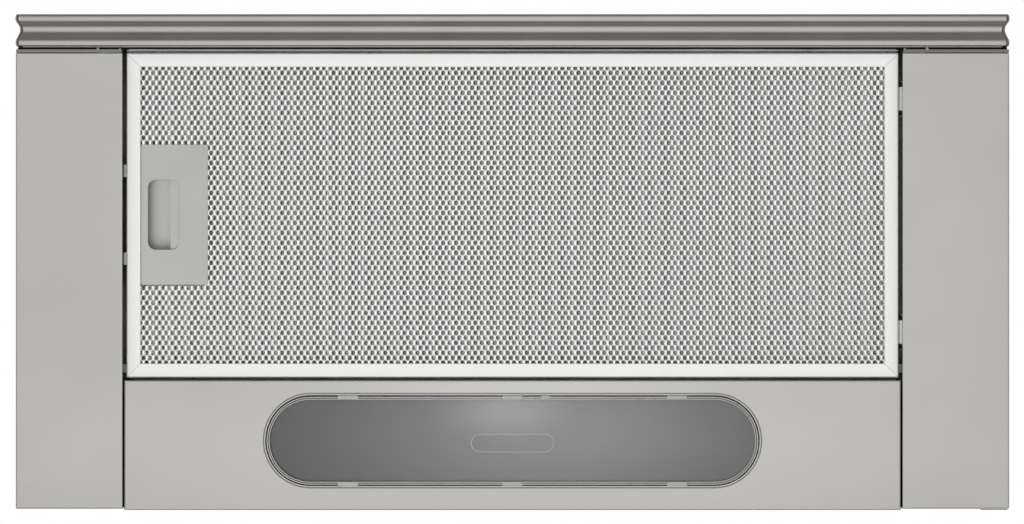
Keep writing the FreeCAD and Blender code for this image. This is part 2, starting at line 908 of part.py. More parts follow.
def hinge_tabs():
    """Two tabs riveted to the frame's right side, each with a barrel and a trunnion at both its ends."""
    tabs = []
    for side in (-1, 1):
        middle = hinge_middle_y + side * hinge_half_spacing
        y0 = middle - hinge_barrel_length / 2
        y1 = middle + hinge_barrel_length / 2
        plate = box(
            filter_half_width, hinge_x, y0, y1,
            hinge_z - hinge_tab_thickness / 2, hinge_z + hinge_tab_thickness / 2,
        )
        barrel = rod(hinge_barrel_radius, vec(hinge_x, y0, hinge_z), vec(hinge_x, y1, hinge_z))
        pin = rod(
            hinge_pin_radius,
            vec(hinge_x, middle - hinge_pin_length / 2, hinge_z),
            vec(hinge_x, middle + hinge_pin_length / 2, hinge_z),
        )
        tabs.append(fused([plate, barrel, pin]))
    return Part.makeCompound(tabs)


# Fixed underside


def side_panel():
    """The right panel: a tray folded up at its outside, front and rear, hemmed at its inner edge."""
    top = base_height - body_sheet
    outer = box(panel_inner_x, half_width, panel_front_y, panel_rear_y, 0, top)
    bends = [
        e for e in outer.Edges
        if e.BoundBox.XMin > panel_inner_x + cut_over or e.BoundBox.ZMax < cut_over
    ]
    bends = [
        e for e in bends
        if e.BoundBox.ZMin < cut_over and e.BoundBox.XMax > panel_inner_x + cut_over
    ]
    outer = outer.makeFillet(bend_radius, bends)
    sheet = panel_sheet
    inner = box(
        panel_inner_x - cut_over, half_width - sheet,
        panel_front_y + sheet, panel_rear_y - sheet, sheet, top + cut_over,
    )
    tray = outer.cut(inner)
    side_open = box(
        panel_inner_x - cut_over, outer_member_x + body_sheet + edge_piece_gap,
        panel_front_y - cut_over, panel_front_y + sheet + cut_over, sheet, top + cut_over,
    )
    hem = box(
        panel_inner_x, panel_inner_x + hem_width,
        panel_front_y + sheet, panel_rear_y - sheet, 0, sheet * 2,
    )
    return fused([tray.cut(side_open), hem])


def control_window():
    """The opening in the right panel's front wall, behind the controls."""
    x0, x1 = edge_piece_xs()
    return box(
        x0 + switch_block_inset, x1 - switch_block_inset,
        panel_front_y - cut_over, panel_front_y + panel_sheet + cut_over,
        edge_piece_bottom + switch_block_inset, edge_piece_top - switch_block_inset,
    )


def lamp_panel():
    """The rear panel, folded up on all four sides, its long opening in a pressed ledge."""
    top = base_height - body_sheet
    half = lamp_panel_half_width
    outer = box(-half, half, lamp_panel_front_y, rear_y, 0, top)
    bends = [e for e in outer.Edges if e.BoundBox.ZMax < cut_over]
    outer = outer.makeFillet(bend_radius, bends)
    sheet = panel_sheet
    inner = box(
        -half + sheet, half - sheet,
        lamp_panel_front_y + sheet, rear_y - sheet, sheet, top + cut_over,
    )
    low_sides = box(
        -half - cut_over, half + cut_over,
        lamp_panel_front_y - cut_over, rear_y - bend_radius, lamp_panel_lip, top + cut_over,
    )
    hole_length = lens_length + lens_gap * 2
    hole_width = lens_width + lens_gap * 2
    recess_length = hole_length + sheet * 2
    recess_width = hole_width + sheet * 2
    ledge_top = lens_ledge_depth + sheet
    ledge = stadium(recess_length + sheet * 2, recess_width + sheet * 2, lens_middle_y, 0, ledge_top)
    recess = stadium(recess_length, recess_width, lens_middle_y, -cut_over, lens_ledge_depth)
    lip = stadium(recess_length, recess_width, lens_middle_y, 0, lens_lip_height)
    hole = stadium(hole_length, hole_width, lens_middle_y, -cut_over, lens_lip_height + cut_over)
    panel = cut_all(fused([outer.cut(inner).cut(low_sides), ledge, lip]), [recess, hole])
    edge_box = recess.BoundBox
    edge_box.enlarge(cut_over)
    rim = [
        e for e in panel.Edges
        if e.BoundBox.ZMax < lens_ledge_depth / 2 and edge_box.isInside(e.BoundBox)
    ]
    return panel.makeFillet(lens_rim_radius, rim)


def lamp_lens():
    """A clear moulded tray, flush in the panel, with six clips over the sheet and a bare oblong mark."""
    floor_z = lens_recess
    outer = stadium(lens_length, lens_width, lens_middle_y, floor_z, floor_z + lens_height)
    hollow = stadium(
        lens_length - lens_wall * 2, lens_width - lens_wall * 2, lens_middle_y,
        floor_z + lens_wall, floor_z + lens_height + cut_over,
    )
    mark_y = lens_middle_y + lens_mark_offset
    mark_outer = stadium(
        lens_mark_length, lens_mark_width, mark_y, floor_z - cut_over, floor_z + lens_mark_depth
    )
    mark_inner = stadium(
        lens_mark_length - lens_mark_line * 2, lens_mark_width - lens_mark_line * 2,
        mark_y, floor_z - cut_over * 2, floor_z + lens_mark_depth + cut_over,
    )
    clips = []
    clip_z = lens_lip_height + running_gap
    pad_reach = lens_gap - clip_pad_clearance

    def on_edge(x, width, side, reach, z0, z1):
        edge = lens_middle_y + side * lens_width / 2
        inner = edge - side * lens_wall / 2
        return box(x - width / 2, x + width / 2, inner, edge + side * reach, z0, z1)

    for i in (-1, 0, 1):
        for side in (-1, 1):
            x = i * clip_spacing
            clips.append(on_edge(x, clip_width, side, clip_reach, clip_z, clip_z + clip_height))
            clips.append(on_edge(x, clip_pad_width, side, pad_reach, clip_pad_bottom, clip_z + clip_height))
    clips.append(on_edge(lens_gate_x, lens_gate_width, -1, pad_reach, clip_pad_bottom, clip_z))
    return fused([outer.cut(hollow)] + clips).cut(mark_outer.cut(mark_inner))


def lamp_tray():
    """The reflector box over the lens, with a foot folded out along its front and rear."""
    half = tray_width / 2
    y0 = lens_middle_y - tray_depth / 2
    y1 = lens_middle_y + tray_depth / 2
    sheet = panel_sheet
    outer = box(-half, half, y0, y1, sheet, tray_top)
    inner = box(-half + sheet, half - sheet, y0 + sheet, y1 - sheet, 0, tray_top - sheet)
    foot = box(-half, half, y1 - sheet, y1 + tray_foot, sheet, sheet * 2)
    return fused([outer.cut(inner), foot])


def lamp_holder():
    """The right lamp holder, on the end wall of the tray."""
    x1 = tray_width / 2 - panel_sheet
    x0 = x1 - lamp_holder_length
    body = rod(lamp_holder_radius, vec(x0, lens_middle_y, lamp_axis_z), vec(x1, lens_middle_y, lamp_axis_z))
    bore = rod(
        lamp_cap_radius + lamp_clearance,
        vec(x0 - cut_over, lens_middle_y, lamp_axis_z),
        vec(x0 + lamp_cap_length + lamp_clearance, lens_middle_y, lamp_axis_z),
    )
    return body.cut(bore)


def lamp_bulb():
    """The right tubular lamp: screw cap, neck and glass, turned about its own axis."""
    base_x = tray_width / 2 - panel_sheet - lamp_holder_length + lamp_cap_length
    cap_x = base_x - lamp_cap_length - lamp_clearance
    neck_x = cap_x - lamp_neck_length
    dome_x = neck_x - lamp_glass_length + lamp_glass_radius
    tip_x = neck_x - lamp_glass_length

    def at(x, radius):
        return vec(x, lens_middle_y, lamp_axis_z + radius)

    bend = math.sqrt(1 / 2)
    dome = Part.Arc(
        at(dome_x, lamp_glass_radius),
        at(dome_x - lamp_glass_radius * bend, lamp_glass_radius * bend),
        at(tip_x, 0),
    ).toShape()
    path = Part.makePolygon([
        at(tip_x, 0), at(base_x, 0), at(base_x, lamp_cap_radius), at(cap_x, lamp_cap_radius),
        at(neck_x, lamp_glass_radius), at(dome_x, lamp_glass_radius),
    ])
    wire = Part.Wire(Part.__sortEdges__(path.Edges + [dome]))
    return Part.Face(wire).revolve(at(0, 0), vec(1, 0, 0), 360)


# Base plate and casing


def base_plate():
    """The plate on top of the folded panels, with the second filter's opening and two slide flanges."""
    half = half_width - panel_sheet
    z0 = base_height - body_sheet
    front = panel_front_y + panel_sheet
    plate = box(-half, half, front, panel_rear_y, z0, base_height)
    gap = inner_filter_gap
    opening = box(
        -inner_filter_width / 2 - gap, inner_filter_width / 2 + gap,
        inner_filter_front_y - gap, inner_filter_rear_y + gap, 0, base_height + cut_over,
    )
    pieces = [plate]
    for side in (-1, 1):
        x = side * outer_member_x
        web = box(
            x, x + side * body_sheet, outer_member_front_y, panel_rear_y - panel_sheet,
            panel_sheet * 2, z0,
        )
        foot = box(
            x, x + side * rail_foot_width, outer_member_front_y, panel_rear_y - panel_sheet - running_gap,
            panel_sheet, panel_sheet + body_sheet,
        )
        pieces += [web, foot]
    rear_flange = box(
        -lamp_panel_half_width + rear_flange_side_inset, lamp_panel_half_width - rear_flange_side_inset,
        rear_y - panel_sheet - body_sheet, rear_y - panel_sheet,
        z0 - rear_flange_height, z0,
    )
    stud_hole = rod(
        capacitor_stud_radius + screw_hole_clearance,
        vec(capacitor_x, capacitor_y, z0 - cut_over), vec(capacitor_x, capacitor_y, base_height + cut_over),
    )
    return fused(pieces + [rear_flange]).cut(opening).cut(stud_hole)


def cabinet_hole_places():
    for sx in (-1, 1):
        for sy in (-1, 1):
            yield sx * cabinet_spacing_x / 2, cabinet_middle_y + sy * cabinet_spacing_y / 2


def collar_y():
    """The collar stands over the middle of the blower's mouth."""
    return blower_y - scroll_front_radius / 2


def casing_shell():
    """The upper box, open below, with a flange all round, the outlet hole and the cabinet holes."""
    half = casing_width / 2
    rear = casing_rear_y
    top = casing_top
    outer = box(-half, half, casing_front_y, rear, base_height, top)
    upright = [e for e in outer.Edges if abs(e.tangentAt(e.FirstParameter).z) > 1 / 2]
    outer = outer.makeFillet(bend_radius, upright)
    sheet = casing_sheet
    inner = box(-half + sheet, half - sheet, casing_front_y + sheet, rear - sheet, 0, top - sheet)
    flange = box(
        -half - casing_flange, half + casing_flange,
        casing_front_y - casing_flange, rear, base_height, base_height + sheet,
    )
    shell = fused([outer, flange]).cut(inner)
    low = top - sheet - cut_over
    high = top + cut_over

    def through(radius, x, y):
        return rod(radius, vec(x, y, low), vec(x, y, high))

    holes = [through(cabinet_hole_radius, x, y) for x, y in cabinet_hole_places()]
    holes.append(through(collar_radius - collar_wall - collar_lip / 2, 0, collar_y()))
    holes.append(through(gland_body_radius + screw_hole_clearance, terminal_x, terminal_y))
    holes += collar_screw_rods(screw_radius, low, high)
    return cut_all(shell, holes)


# Second filter


def inner_filter_levels():
    z0 = base_height - body_sheet - inner_filter_drop
    return z0, z0 + inner_filter_thickness


def inner_latch_block():
    """The solid block at the front of the second filter that guides its latch."""
    z0, z1 = inner_filter_levels()
    half = inner_latch_block_width / 2
    y0 = inner_filter_front_y + inner_frame_wall
    return box(-half, half, y0, y0 + inner_latch_block_length, z0, z1)


def inner_filter_frame():
    """The frame with its latch block, two tongues at the rear and a slot for the latch."""
    z0, z1 = inner_filter_levels()
    half = inner_filter_width / 2
    wall = inner_frame_wall
    y0 = inner_filter_front_y
    y1 = inner_filter_rear_y
    outer = box(-half, half, y0, y1, z0, z1)
    space = box(-half + wall, half - wall, y0 + wall, y1 - wall, z0 + wall, z1 - wall)
    lip = inner_frame_width
    window = box(-half + lip, half - lip, y0 + lip, y1 - lip, z0 - cut_over, z1 + cut_over)
    frame = fused([outer.cut(space).cut(window), inner_latch_block()])
    slide_z = base_height + running_gap
    gap = running_gap
    slot = box(
        -inner_slider_width / 2 - gap, inner_slider_width / 2 + gap,
        y0 - cut_over, y0 + wall + inner_slider_length + inner_slider_travel + gap,
        slide_z - gap, slide_z + tongue_thickness + gap,
    )
    thumb_y = inner_thumb_y()
    thumb_half = inner_thumb_width / 2 + inner_thumb_slot_clearance
    thumb_slot = box(
        -thumb_half, thumb_half,
        thumb_y - inner_thumb_slot_clearance,
        thumb_y + inner_thumb_length + inner_slider_travel + inner_thumb_slot_clearance,
        z0 - cut_over, slide_z,
    )
    tongues = []
    for side in (-1, 1):
        x = side * tongue_half_spacing
        tongues.append(box(
            x - tongue_width / 2, x + tongue_width / 2, y1 - wall, y1 + tongue_reach,
            slide_z, slide_z + tongue_thickness,
        ))
    return fused([frame.cut(slot).cut(thumb_slot)] + tongues)


def inner_thumb_y():
    return inner_filter_front_y + inner_frame_wall + inner_thumb_length


def inner_filter_mesh():
    """The expanded sheet of the second filter, on its frame's lower lip."""
    z0, z1 = inner_filter_levels()
    inset = inner_frame_wall + running_gap
    half = inner_filter_width / 2 - inset
    y0 = inner_filter_front_y + inset
    y1 = inner_filter_rear_y - inset
    low = z0 + inner_frame_wall
    sheet = mesh_sheet(-half, half, y0, y1, low, low + filter_mesh_sheet,
                       inner_frame_width, inner_mesh_columns, inner_mesh_rows)
    block = inner_latch_block().BoundBox
    room = box(block.XMin - running_gap, block.XMax + running_gap, block.YMin - cut_over,
               block.YMax + running_gap, z0 - cut_over, z1 + cut_over)
    return sheet.cut(room)


def inner_filter_filling():
    """The folded layer above that sheet, in the same pack."""
    z0, z1 = inner_filter_levels()
    inset = inner_frame_wall + running_gap
    half = inner_filter_width / 2 - inset
    low = z0 + inner_frame_wall + filter_mesh_sheet
    y0 = inner_filter_front_y + inset
    y1 = inner_filter_rear_y - inset
    pad = pleated_sheet(-half, half, y0, y1, low, z1 - inner_frame_wall, pleat_count)
    block = inner_latch_block().BoundBox
    room = box(block.XMin - running_gap, block.XMax + running_gap, block.YMin - cut_over,
               block.YMax + running_gap, z0 - cut_over, z1 + cut_over)
    return pad.cut(room)


def inner_latch_slider():
    """The bolt of the second filter's latch, with a thumb piece below it."""
    z = base_height + running_gap
    y0 = inner_filter_front_y
    bolt = box(
        -inner_slider_width / 2, inner_slider_width / 2,
        y0 - inner_slider_reach, y0 + inner_frame_wall + inner_slider_length, z, z + tongue_thickness,
    )
    z0 = inner_filter_levels()[0]
    thumb = box(
        -inner_thumb_width / 2, inner_thumb_width / 2,
        inner_thumb_y(), inner_thumb_y() + inner_thumb_length, z0, z,
    )
    return fused([bolt, thumb])


# Blower


def scroll_block(grow, x0, x1, top):
    """The blower's outline, pushed along X: three widening arcs, then straight up at the front."""
    tongue = impeller_radius + scroll_tongue_gap + grow
    rear = scroll_rear_radius + grow
    bottom = scroll_bottom_radius + grow
    front = scroll_front_radius + grow

    def at(u, v):
        return vec(x0, blower_y + u, blower_z + v)

    def quarter(start, end, r_start, r_end):
        middle = start.add(end)
        middle.normalize()
        reach = (r_start + r_end) / 2
        return Part.Arc(
            at(start.x * r_start, start.y * r_start),
            at(middle.x * reach, middle.y * reach),
            at(end.x * r_end, end.y * r_end),
        ).toShape()

    up = vec(0, 1, 0)
    back = vec(1, 0, 0)
    down = vec(0, -1, 0)
    ahead = vec(-1, 0, 0)
    arcs = [
        quarter(up, back, tongue, rear),
        quarter(back, down, rear, bottom),
        quarter(down, ahead, bottom, front),
    ]
    mouth = top - blower_z
    walls = Part.makePolygon([at(-front, 0), at(-front, mouth), at(0, mouth), at(0, tongue)])
    wire = Part.Wire(Part.__sortEdges__(arcs + walls.Edges))
    return Part.Face(wire).extrude(vec(x1 - x0, 0, 0))


def blower_rod(radius, x0, x1):
    """A rod on the blower's axis."""
    return rod(radius, vec(x0, blower_y, blower_z), vec(x1, blower_y, blower_z))


def scroll_half():
    """The right half of the blower's casing, open at its middle, its inlet and its mouth."""
    top = casing_top - casing_sheet
    outer_x = scroll_half_length + scroll_wall
    mouth_wall = box(0, outer_x, blower_y, blower_y + scroll_wall, blower_z, top)
    shell = fused([scroll_block(scroll_wall, 0, outer_x, top), mouth_wall])
    hollow = scroll_block(0, -cut_over, scroll_half_length, top + cut_over)
    inlet = blower_rod(inlet_radius, scroll_half_length - cut_over, outer_x + cut_over)
    return shell.cut(hollow).cut(inlet)


def impeller():
    """Forward-leaning blades between a middle disc and two end rings, on one hub."""
    ring_inner = impeller_radius - blade_chord
    middle_radius = impeller_radius - blade_chord / 2
    blade = box(
        -impeller_half_length, impeller_half_length,
        -blade_thickness / 2, blade_thickness / 2,
        middle_radius - blade_chord / 2, middle_radius + blade_chord / 2,
    )
    blade.rotate(vec(0, 0, middle_radius), vec(1, 0, 0), blade_lean)
    blades = []
    for i in range(blade_count):
        copy = blade.copy()
        copy.rotate(vec(0, 0, 0), vec(1, 0, 0), 360 * i / blade_count)
        copy.translate(vec(0, blower_y, blower_z))
        blades.append(copy)
    disc = blower_rod(impeller_radius, -impeller_ring / 2, impeller_ring / 2)
    hub = blower_rod(hub_radius, -hub_length, impeller_ring / 2)
    rings = []
    for side in (-1, 1):
        outer_x = side * impeller_half_length
        inner_x = side * (impeller_half_length - impeller_ring)
        ring = blower_rod(impeller_radius, min(outer_x, inner_x), max(outer_x, inner_x))
        bore = blower_rod(ring_inner, -impeller_half_length - cut_over, impeller_half_length + cut_over)
        rings.append(ring.cut(bore))
    bore = blower_rod(shaft_radius, -hub_length - cut_over, impeller_half_length)
    return fused([disc, hub] + rings + blades).cut(bore)


def motor_end_x():
    return scroll_half_length + scroll_wall


def motor():
    """The motor's can inside the right half of the impeller, with a boss towards the hub."""
    can = blower_rod(motor_radius, motor_start, motor_end_x())
    rim = [e for e in can.Edges if e.BoundBox.XMax < motor_start + bend_radius]
    can = can.makeFillet(bend_radius, rim)
    boss = blower_rod(motor_boss_radius, motor_start - motor_boss_length, motor_start)
    bore = blower_rod(shaft_radius + shaft_clearance, 0, motor_end_x() - motor_end_wall)
    return fused([can, boss]).cut(bore)


def motor_shaft():
    return blower_rod(shaft_radius, -hub_length, motor_end_x() - motor_end_wall - running_gap)


def motor_bracket():
    """A hub with three arms across the right inlet."""
    x0 = motor_end_x()
    x1 = x0 + guard_thickness
    pieces = [blower_rod(bracket_hub_radius, x0, x1)]
    for i in range(bracket_arm_count):
        arm = box(x0, x1, -bracket_arm_width / 2, bracket_arm_width / 2, 0, bracket_reach)
        arm.rotate(vec(0, 0, 0), vec(1, 0, 0), 360 * i / bracket_arm_count)
        arm.translate(vec(0, blower_y, blower_z))
        pieces.append(arm)
    return fused(pieces)


def inlet_guard():
    """A ring with crossed ribs over the left inlet."""
    x1 = -motor_end_x()
    x0 = x1 - guard_thickness
    bore = blower_rod(inlet_radius, x0 - cut_over, x1 + cut_over)
    pieces = [blower_rod(inlet_radius + guard_width, x0, x1).cut(bore)]
    rib_reach = inlet_radius + guard_width / 2
    for i in range(guard_rib_count):
        rib = box(x0, x1, -guard_rib / 2, guard_rib / 2, -rib_reach, rib_reach)
        rib.rotate(vec(0, 0, 0), vec(1, 0, 0), 180 * i / guard_rib_count)
        rib.translate(vec(0, blower_y, blower_z))
        pieces.append(rib)
    return fused(pieces)


def capacitor():
    """The motor's capacitor, on a stud through the base plate with its nut below."""
    foot = vec(capacitor_x, capacitor_y, base_height)
    can = rod(capacitor_radius, foot, foot.add(vec(0, 0, capacitor_height)))
    stud_end = foot.sub(vec(0, 0, body_sheet + capacitor_nut_height))
    nut = rod(capacitor_nut_radius, stud_end, foot.sub(vec(0, 0, body_sheet)))
    return fused([can, rod(capacitor_stud_radius, stud_end, foot), nut])


# Outlet


def collar_screw_rods(radius, z0, z1):
    rods = []
    for i in range(collar_screw_count):
        turn = math.radians(360 * (i + 1 / 2) / collar_screw_count)
        x = collar_screw_circle * math.cos(turn)
        y = collar_y() + collar_screw_circle * math.sin(turn)
        rods.append(rod(radius, vec(x, y, z0), vec(x, y, z1)))
    return rods


def collar_rod(radius, z0, z1):
    return rod(radius, vec(0, collar_y(), z0), vec(0, collar_y(), z1))


def pin_z():
    return casing_top + damper_pin_height


def damper_pin_rod(radius, reach):
    return rod(radius, vec(-reach, collar_y(), pin_z()), vec(reach, collar_y(), pin_z()))


def outlet_collar():
    """The round spigot with its screwed flange, a lip that the flaps rest over, and the pin's two seats."""
    z0 = casing_top
    inner = collar_radius - collar_wall
    tube = collar_rod(collar_radius, z0, hood_height)
    flange = collar_rod(collar_flange_radius, z0, z0 + collar_flange_thickness)
    bore = collar_rod(inner, z0 + collar_flange_thickness, hood_height + cut_over)
    lip_bore = collar_rod(inner - collar_lip, z0 - cut_over, hood_height)
    seat = damper_pin_rod(damper_pin_radius, inner + damper_pin_seat)
    hole_radius = screw_radius + screw_hole_clearance
    holes = collar_screw_rods(hole_radius, z0 - cut_over, z0 + collar_flange_thickness + cut_over)
    return cut_all(fused([tube, flange]).cut(bore).cut(lip_bore).cut(seat), holes)


def collar_screws():
    """Four screws through the collar's flange into the casing's top."""
    head_z = casing_top + collar_flange_thickness
    shanks = collar_screw_rods(screw_radius, casing_top - casing_sheet, head_z)
    heads = collar_screw_rods(screw_head_radius, head_z, head_z + screw_head_height)
    return Part.makeCompound([fused([shank, head]) for shank, head in zip(shanks, heads)])


def flap(side, knuckle_start):
    """Half of the damper: a half disc and two knuckles on the pin, with side -1 at the front."""
    z0 = casing_top + collar_flange_thickness + running_gap
    z1 = z0 + flap_thickness
    radius = collar_radius - collar_wall - flap_rim_gap
    y = collar_y()
    disc = collar_rod(radius, z0, z1)
    away = y + side * flap_axis_gap
    half = box(-radius, radius, away, y + side * (radius + cut_over), z0 - cut_over, z1 + cut_over)
    pieces = [disc.common(half)]
    for end in (-1, 1):
        x0 = end * knuckle_start
        x1 = end * (knuckle_start + knuckle_length)
        barrel = rod(knuckle_radius, vec(x0, y, pin_z()), vec(x1, y, pin_z()))
        tongue = box(x0, x1, y, away + side * cut_over, z0, z1)
        pieces += [barrel, tongue]
    bore = damper_pin_rod(damper_pin_radius + knuckle_clearance, radius)
    return fused(pieces).cut(bore)


# Electrics


def terminal_box():
    """A box under the casing's top, open below for its cover, with a hole for the gland."""
    top = casing_top - casing_sheet
    x0 = terminal_x - terminal_width / 2
    x1 = terminal_x + terminal_width / 2
    y0 = terminal_y - terminal_depth / 2
    y1 = terminal_y + terminal_depth / 2
    wall = terminal_wall
    outer = box(x0, x1, y0, y1, top - terminal_height, top)
    inner = box(
        x0 + wall, x1 - wall, y0 + wall, y1 - wall,
        top - terminal_height - cut_over, top - wall,
    )
    hole = rod(
        gland_body_radius + screw_hole_clearance,
        vec(terminal_x, terminal_y, top - wall - cut_over),
        vec(terminal_x, terminal_y, top + cut_over),
    )
    return outer.cut(inner).cut(hole)


def terminal_cover():
    """The lid that closes the terminal box from below."""
    top = casing_top - casing_sheet - terminal_height
    x0 = terminal_x - terminal_width / 2
    x1 = terminal_x + terminal_width / 2
    y0 = terminal_y - terminal_depth / 2
    y1 = terminal_y + terminal_depth / 2
    wall = terminal_wall
    lid = box(x0, x1, y0, y1, top - wall, top)
    plug = box(x0 + wall + running_gap, x1 - wall - running_gap, y0 + wall + running_gap,
               y1 - wall - running_gap, top, top + wall)
    return fused([lid, plug])


def cable_gland():
    """A gland through the casing's top and the terminal box, with its nut inside."""
    top = casing_top
    below = top - casing_sheet - terminal_wall - gland_nut_height
    middle = vec(terminal_x, terminal_y, 0)

    def tube(radius, z0, z1):
        return rod(radius, middle.add(vec(0, 0, z0)), middle.add(vec(0, 0, z1)))

    flange = tube(gland_flange_radius, top, top + gland_flange_height)
    body = tube(gland_body_radius, below, top)
    nut = tube(gland_flange_radius, below, below + gland_nut_height)
    bore = tube(gland_bore_radius, below - cut_over, top + gland_flange_height + cut_over)
    return fused([flange, body, nut]).cut(bore)


# Front edge pieces and controls


def edge_piece_xs():
    x0 = outer_member_x + body_sheet + edge_piece_gap
    return x0, half_width - bend_radius


def edge_piece(slots):
    """The right moulding between trim and side panel: a low toe runs in under the drawer, a lip
    below the buttons closes the gap behind the trim."""
    x0, x1 = edge_piece_xs()
    y0 = trim_rear_y + edge_front_gap
    y1 = panel_front_y - edge_piece_rear_gap
    end_x = half_width - edge_end_gap
    body = box(x0, end_x, y0, y1, edge_piece_bottom, edge_piece_top)
    border = edge_border
    field = box(
        x0 + border, x1 - border, y0 - cut_over, y0 + edge_recess,
        edge_piece_bottom + border, edge_piece_top - border,
    )
    toe = box(panel_inner_x + edge_toe_gap, x0 + border, y0, y1, edge_piece_bottom, edge_toe_top)
    lip_y = trim_rear_y + edge_lip_gap
    lip_top = edge_lip_bottom + edge_lip_height
    lip = box(x0, end_x, lip_y, y0 + border / 2, edge_lip_bottom, lip_top)
    return cut_all(fused([body.cut(field), toe, lip]), slots)


def slider_start_x():
    return edge_piece_xs()[0] + button_start_inset


def control_slot(z, travel):
    """The slot that a slider's stem runs in, through the moulding and into the switch block."""
    x0 = slider_start_x() + (button_width - stem_width) / 2 - slot_clearance
    x1 = x0 + stem_width + travel + slot_clearance * 2
    half = stem_height / 2 + slot_clearance
    stem_end = trim_rear_y + edge_front_gap + edge_recess + stem_length + slot_clearance
    return box(x0, x1, trim_rear_y, stem_end, z - half, z + half)


def control_slider(z):
    """A thumb button with a stem that goes back into the switch block."""
    x0 = slider_start_x()
    y1 = trim_rear_y + edge_front_gap + edge_recess - running_gap / 2
    button = box(x0, x0 + button_width, y1 - button_depth, y1, z - button_height / 2, z + button_height / 2)
    rib = box(
        x0 + button_width / 2 - slot_clearance, x0 + button_width / 2 + slot_clearance,
        y1 - button_depth - running_gap / 2, y1, z - button_height / 2, z + button_height / 2,
    )
    stem_x = x0 + (button_width - stem_width) / 2
    stem = box(
        stem_x, stem_x + stem_width, y1, y1 + stem_length,
        z - stem_height / 2, z + stem_height / 2,
    )
    return fused([button, rib, stem])


def control_slots():
    return [
        control_slot(speed_slider_z, speed_slider_travel),
        control_slot(light_slider_z, light_slider_travel),
    ]


def switch_block():
    """The switch block behind the panel's front wall, its nose in the wall's opening."""
    x0, x1 = edge_piece_xs()
    inset = switch_block_inset + running_gap
    z0 = edge_piece_bottom + inset
    z1 = edge_piece_top - inset
    inside_y = panel_front_y + panel_sheet
    nose = box(x0 + inset, x1 - inset, panel_front_y, inside_y, z0, z1)
    grow = switch_block_inset / 2
    body = box(x0 + grow, x1 - inset, inside_y, inside_y + switch_block_depth, z0 - grow, z1)
    return cut_all(fused([nose, body]), control_slots())


def drawer_switch():
    """The microswitch on the right slide flange, its plunger pressed by the drawer's arm."""
    z0 = slide_mid_z - switch_height / 2
    plunger_y = arm_tail_rear_y + switch_plunger_gap
    body_y = plunger_y + switch_plunger_length
    body = box(arm_inner_x, outer_member_x, body_y, body_y + switch_depth, z0, z0 + switch_height)
    rail_room = box(
        outer_member_x - outer_member_lip - running_gap, outer_member_x + cut_over,
        body_y - cut_over, outer_member_rear_y + running_gap,
        z0 - cut_over, z0 + switch_height + cut_over,
    )
    middle_x = (arm_inner_x + arm_outer_x) / 2
    plunger = box(
        middle_x - drawer_sheet, middle_x + drawer_sheet, plunger_y, body_y + switch_plunger_length,
        slide_mid_z - switch_plunger_width / 2, slide_mid_z + switch_plunger_width / 2,
    )
    return fused([body.cut(rail_room), plunger])


def rear_pad():
    """The small dark pad on the rear of the right panel."""
    x1 = half_width - bend_radius / 2
    return box(x1 - pad_width, x1, panel_rear_y, rear_y, pad_bottom, pad_top)


def main():
    os.makedirs("parts", exist_ok=True)

    bar, cap = trim_pieces()
    save("trim_bar", bar)
    save("trim_cap_right", cap)
    save("trim_cap_left", at_left(cap))
    save("trim_screws", trim_screws())
    save("drawer_front_plate", drawer_front())
    arm = drawer_arm()
    save("drawer_arm_left", at_left(arm))
    save("drawer_arm_right", fused([arm] + hinge_lugs()))
    save("drawer_top_plate", drawer_top())
    save("drawer_rear_bar", drawer_rear_bar())

    slides = {"rail_inner": rail_inner(), "rail_outer": rail_outer(), "ball_cage": ball_cage()}
    for name, piece in slides.items():
        save(name + "_right", piece)
        save(name + "_left", at_left(piece))

    lower, filling, upper = filter_layers()
    save("filter_frame", filter_frame())
    save("filter_mesh_lower", lower)
    save("filter_filling", filling)
    save("filter_mesh_upper", upper)
    save("latch_housing", latch_housing())
    save("latch_slider", latch_slider())
    save("latch_springs", latch_springs())
    save("filter_hinge_tabs", hinge_tabs())

    panel = side_panel()
    save("side_panel_left", at_left(panel))
    save("side_panel_right", panel.cut(control_window()))
    save("lamp_panel", lamp_panel())
    save("lamp_lens", lamp_lens())
    save("lamp_tray", lamp_tray())
    save("lamp_holder_right", lamp_holder())
    save("lamp_holder_left", at_left(lamp_holder()))
    save("lamp_right", lamp_bulb())
    save("lamp_left", at_left(lamp_bulb()))
    save("rear_pad", rear_pad())

    save("base_plate", base_plate())
    save("casing_shell", casing_shell())
    save("inner_filter_frame", inner_filter_frame())
    save("inner_filter_pack", Part.makeCompound([inner_filter_mesh(), inner_filter_filling()]))
    save("inner_latch_slider", inner_latch_slider())

    half = scroll_half()
    save("scroll_right", half)
    save("scroll_left", at_left(half))
    save("impeller", impeller())
    save("motor_shaft", motor_shaft())
    save("motor", motor())
    save("motor_bracket", motor_bracket())
    save("inlet_guard", inlet_guard())
    save("capacitor", capacitor())

    save("outlet_collar", outlet_collar())
    save("collar_screws", collar_screws())
    save("damper_pin", damper_pin_rod(damper_pin_radius, collar_radius - collar_wall + damper_pin_seat))
    save("damper_flap_front", flap(-1, front_knuckle_start))
    save("damper_flap_rear", flap(1, rear_knuckle_start))

    save("terminal_box", terminal_box())
    save("terminal_cover", terminal_cover())
    save("cable_gland", cable_gland())

    save("edge_piece_left", at_left(edge_piece([])))
    save("control_panel", edge_piece(control_slots()))
    save("speed_slider", control_slider(speed_slider_z))
    save("light_slider", control_slider(light_slider_z))
    save("switch_block", switch_block())
    save("drawer_switch", drawer_switch())


main()
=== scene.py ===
import json
import math

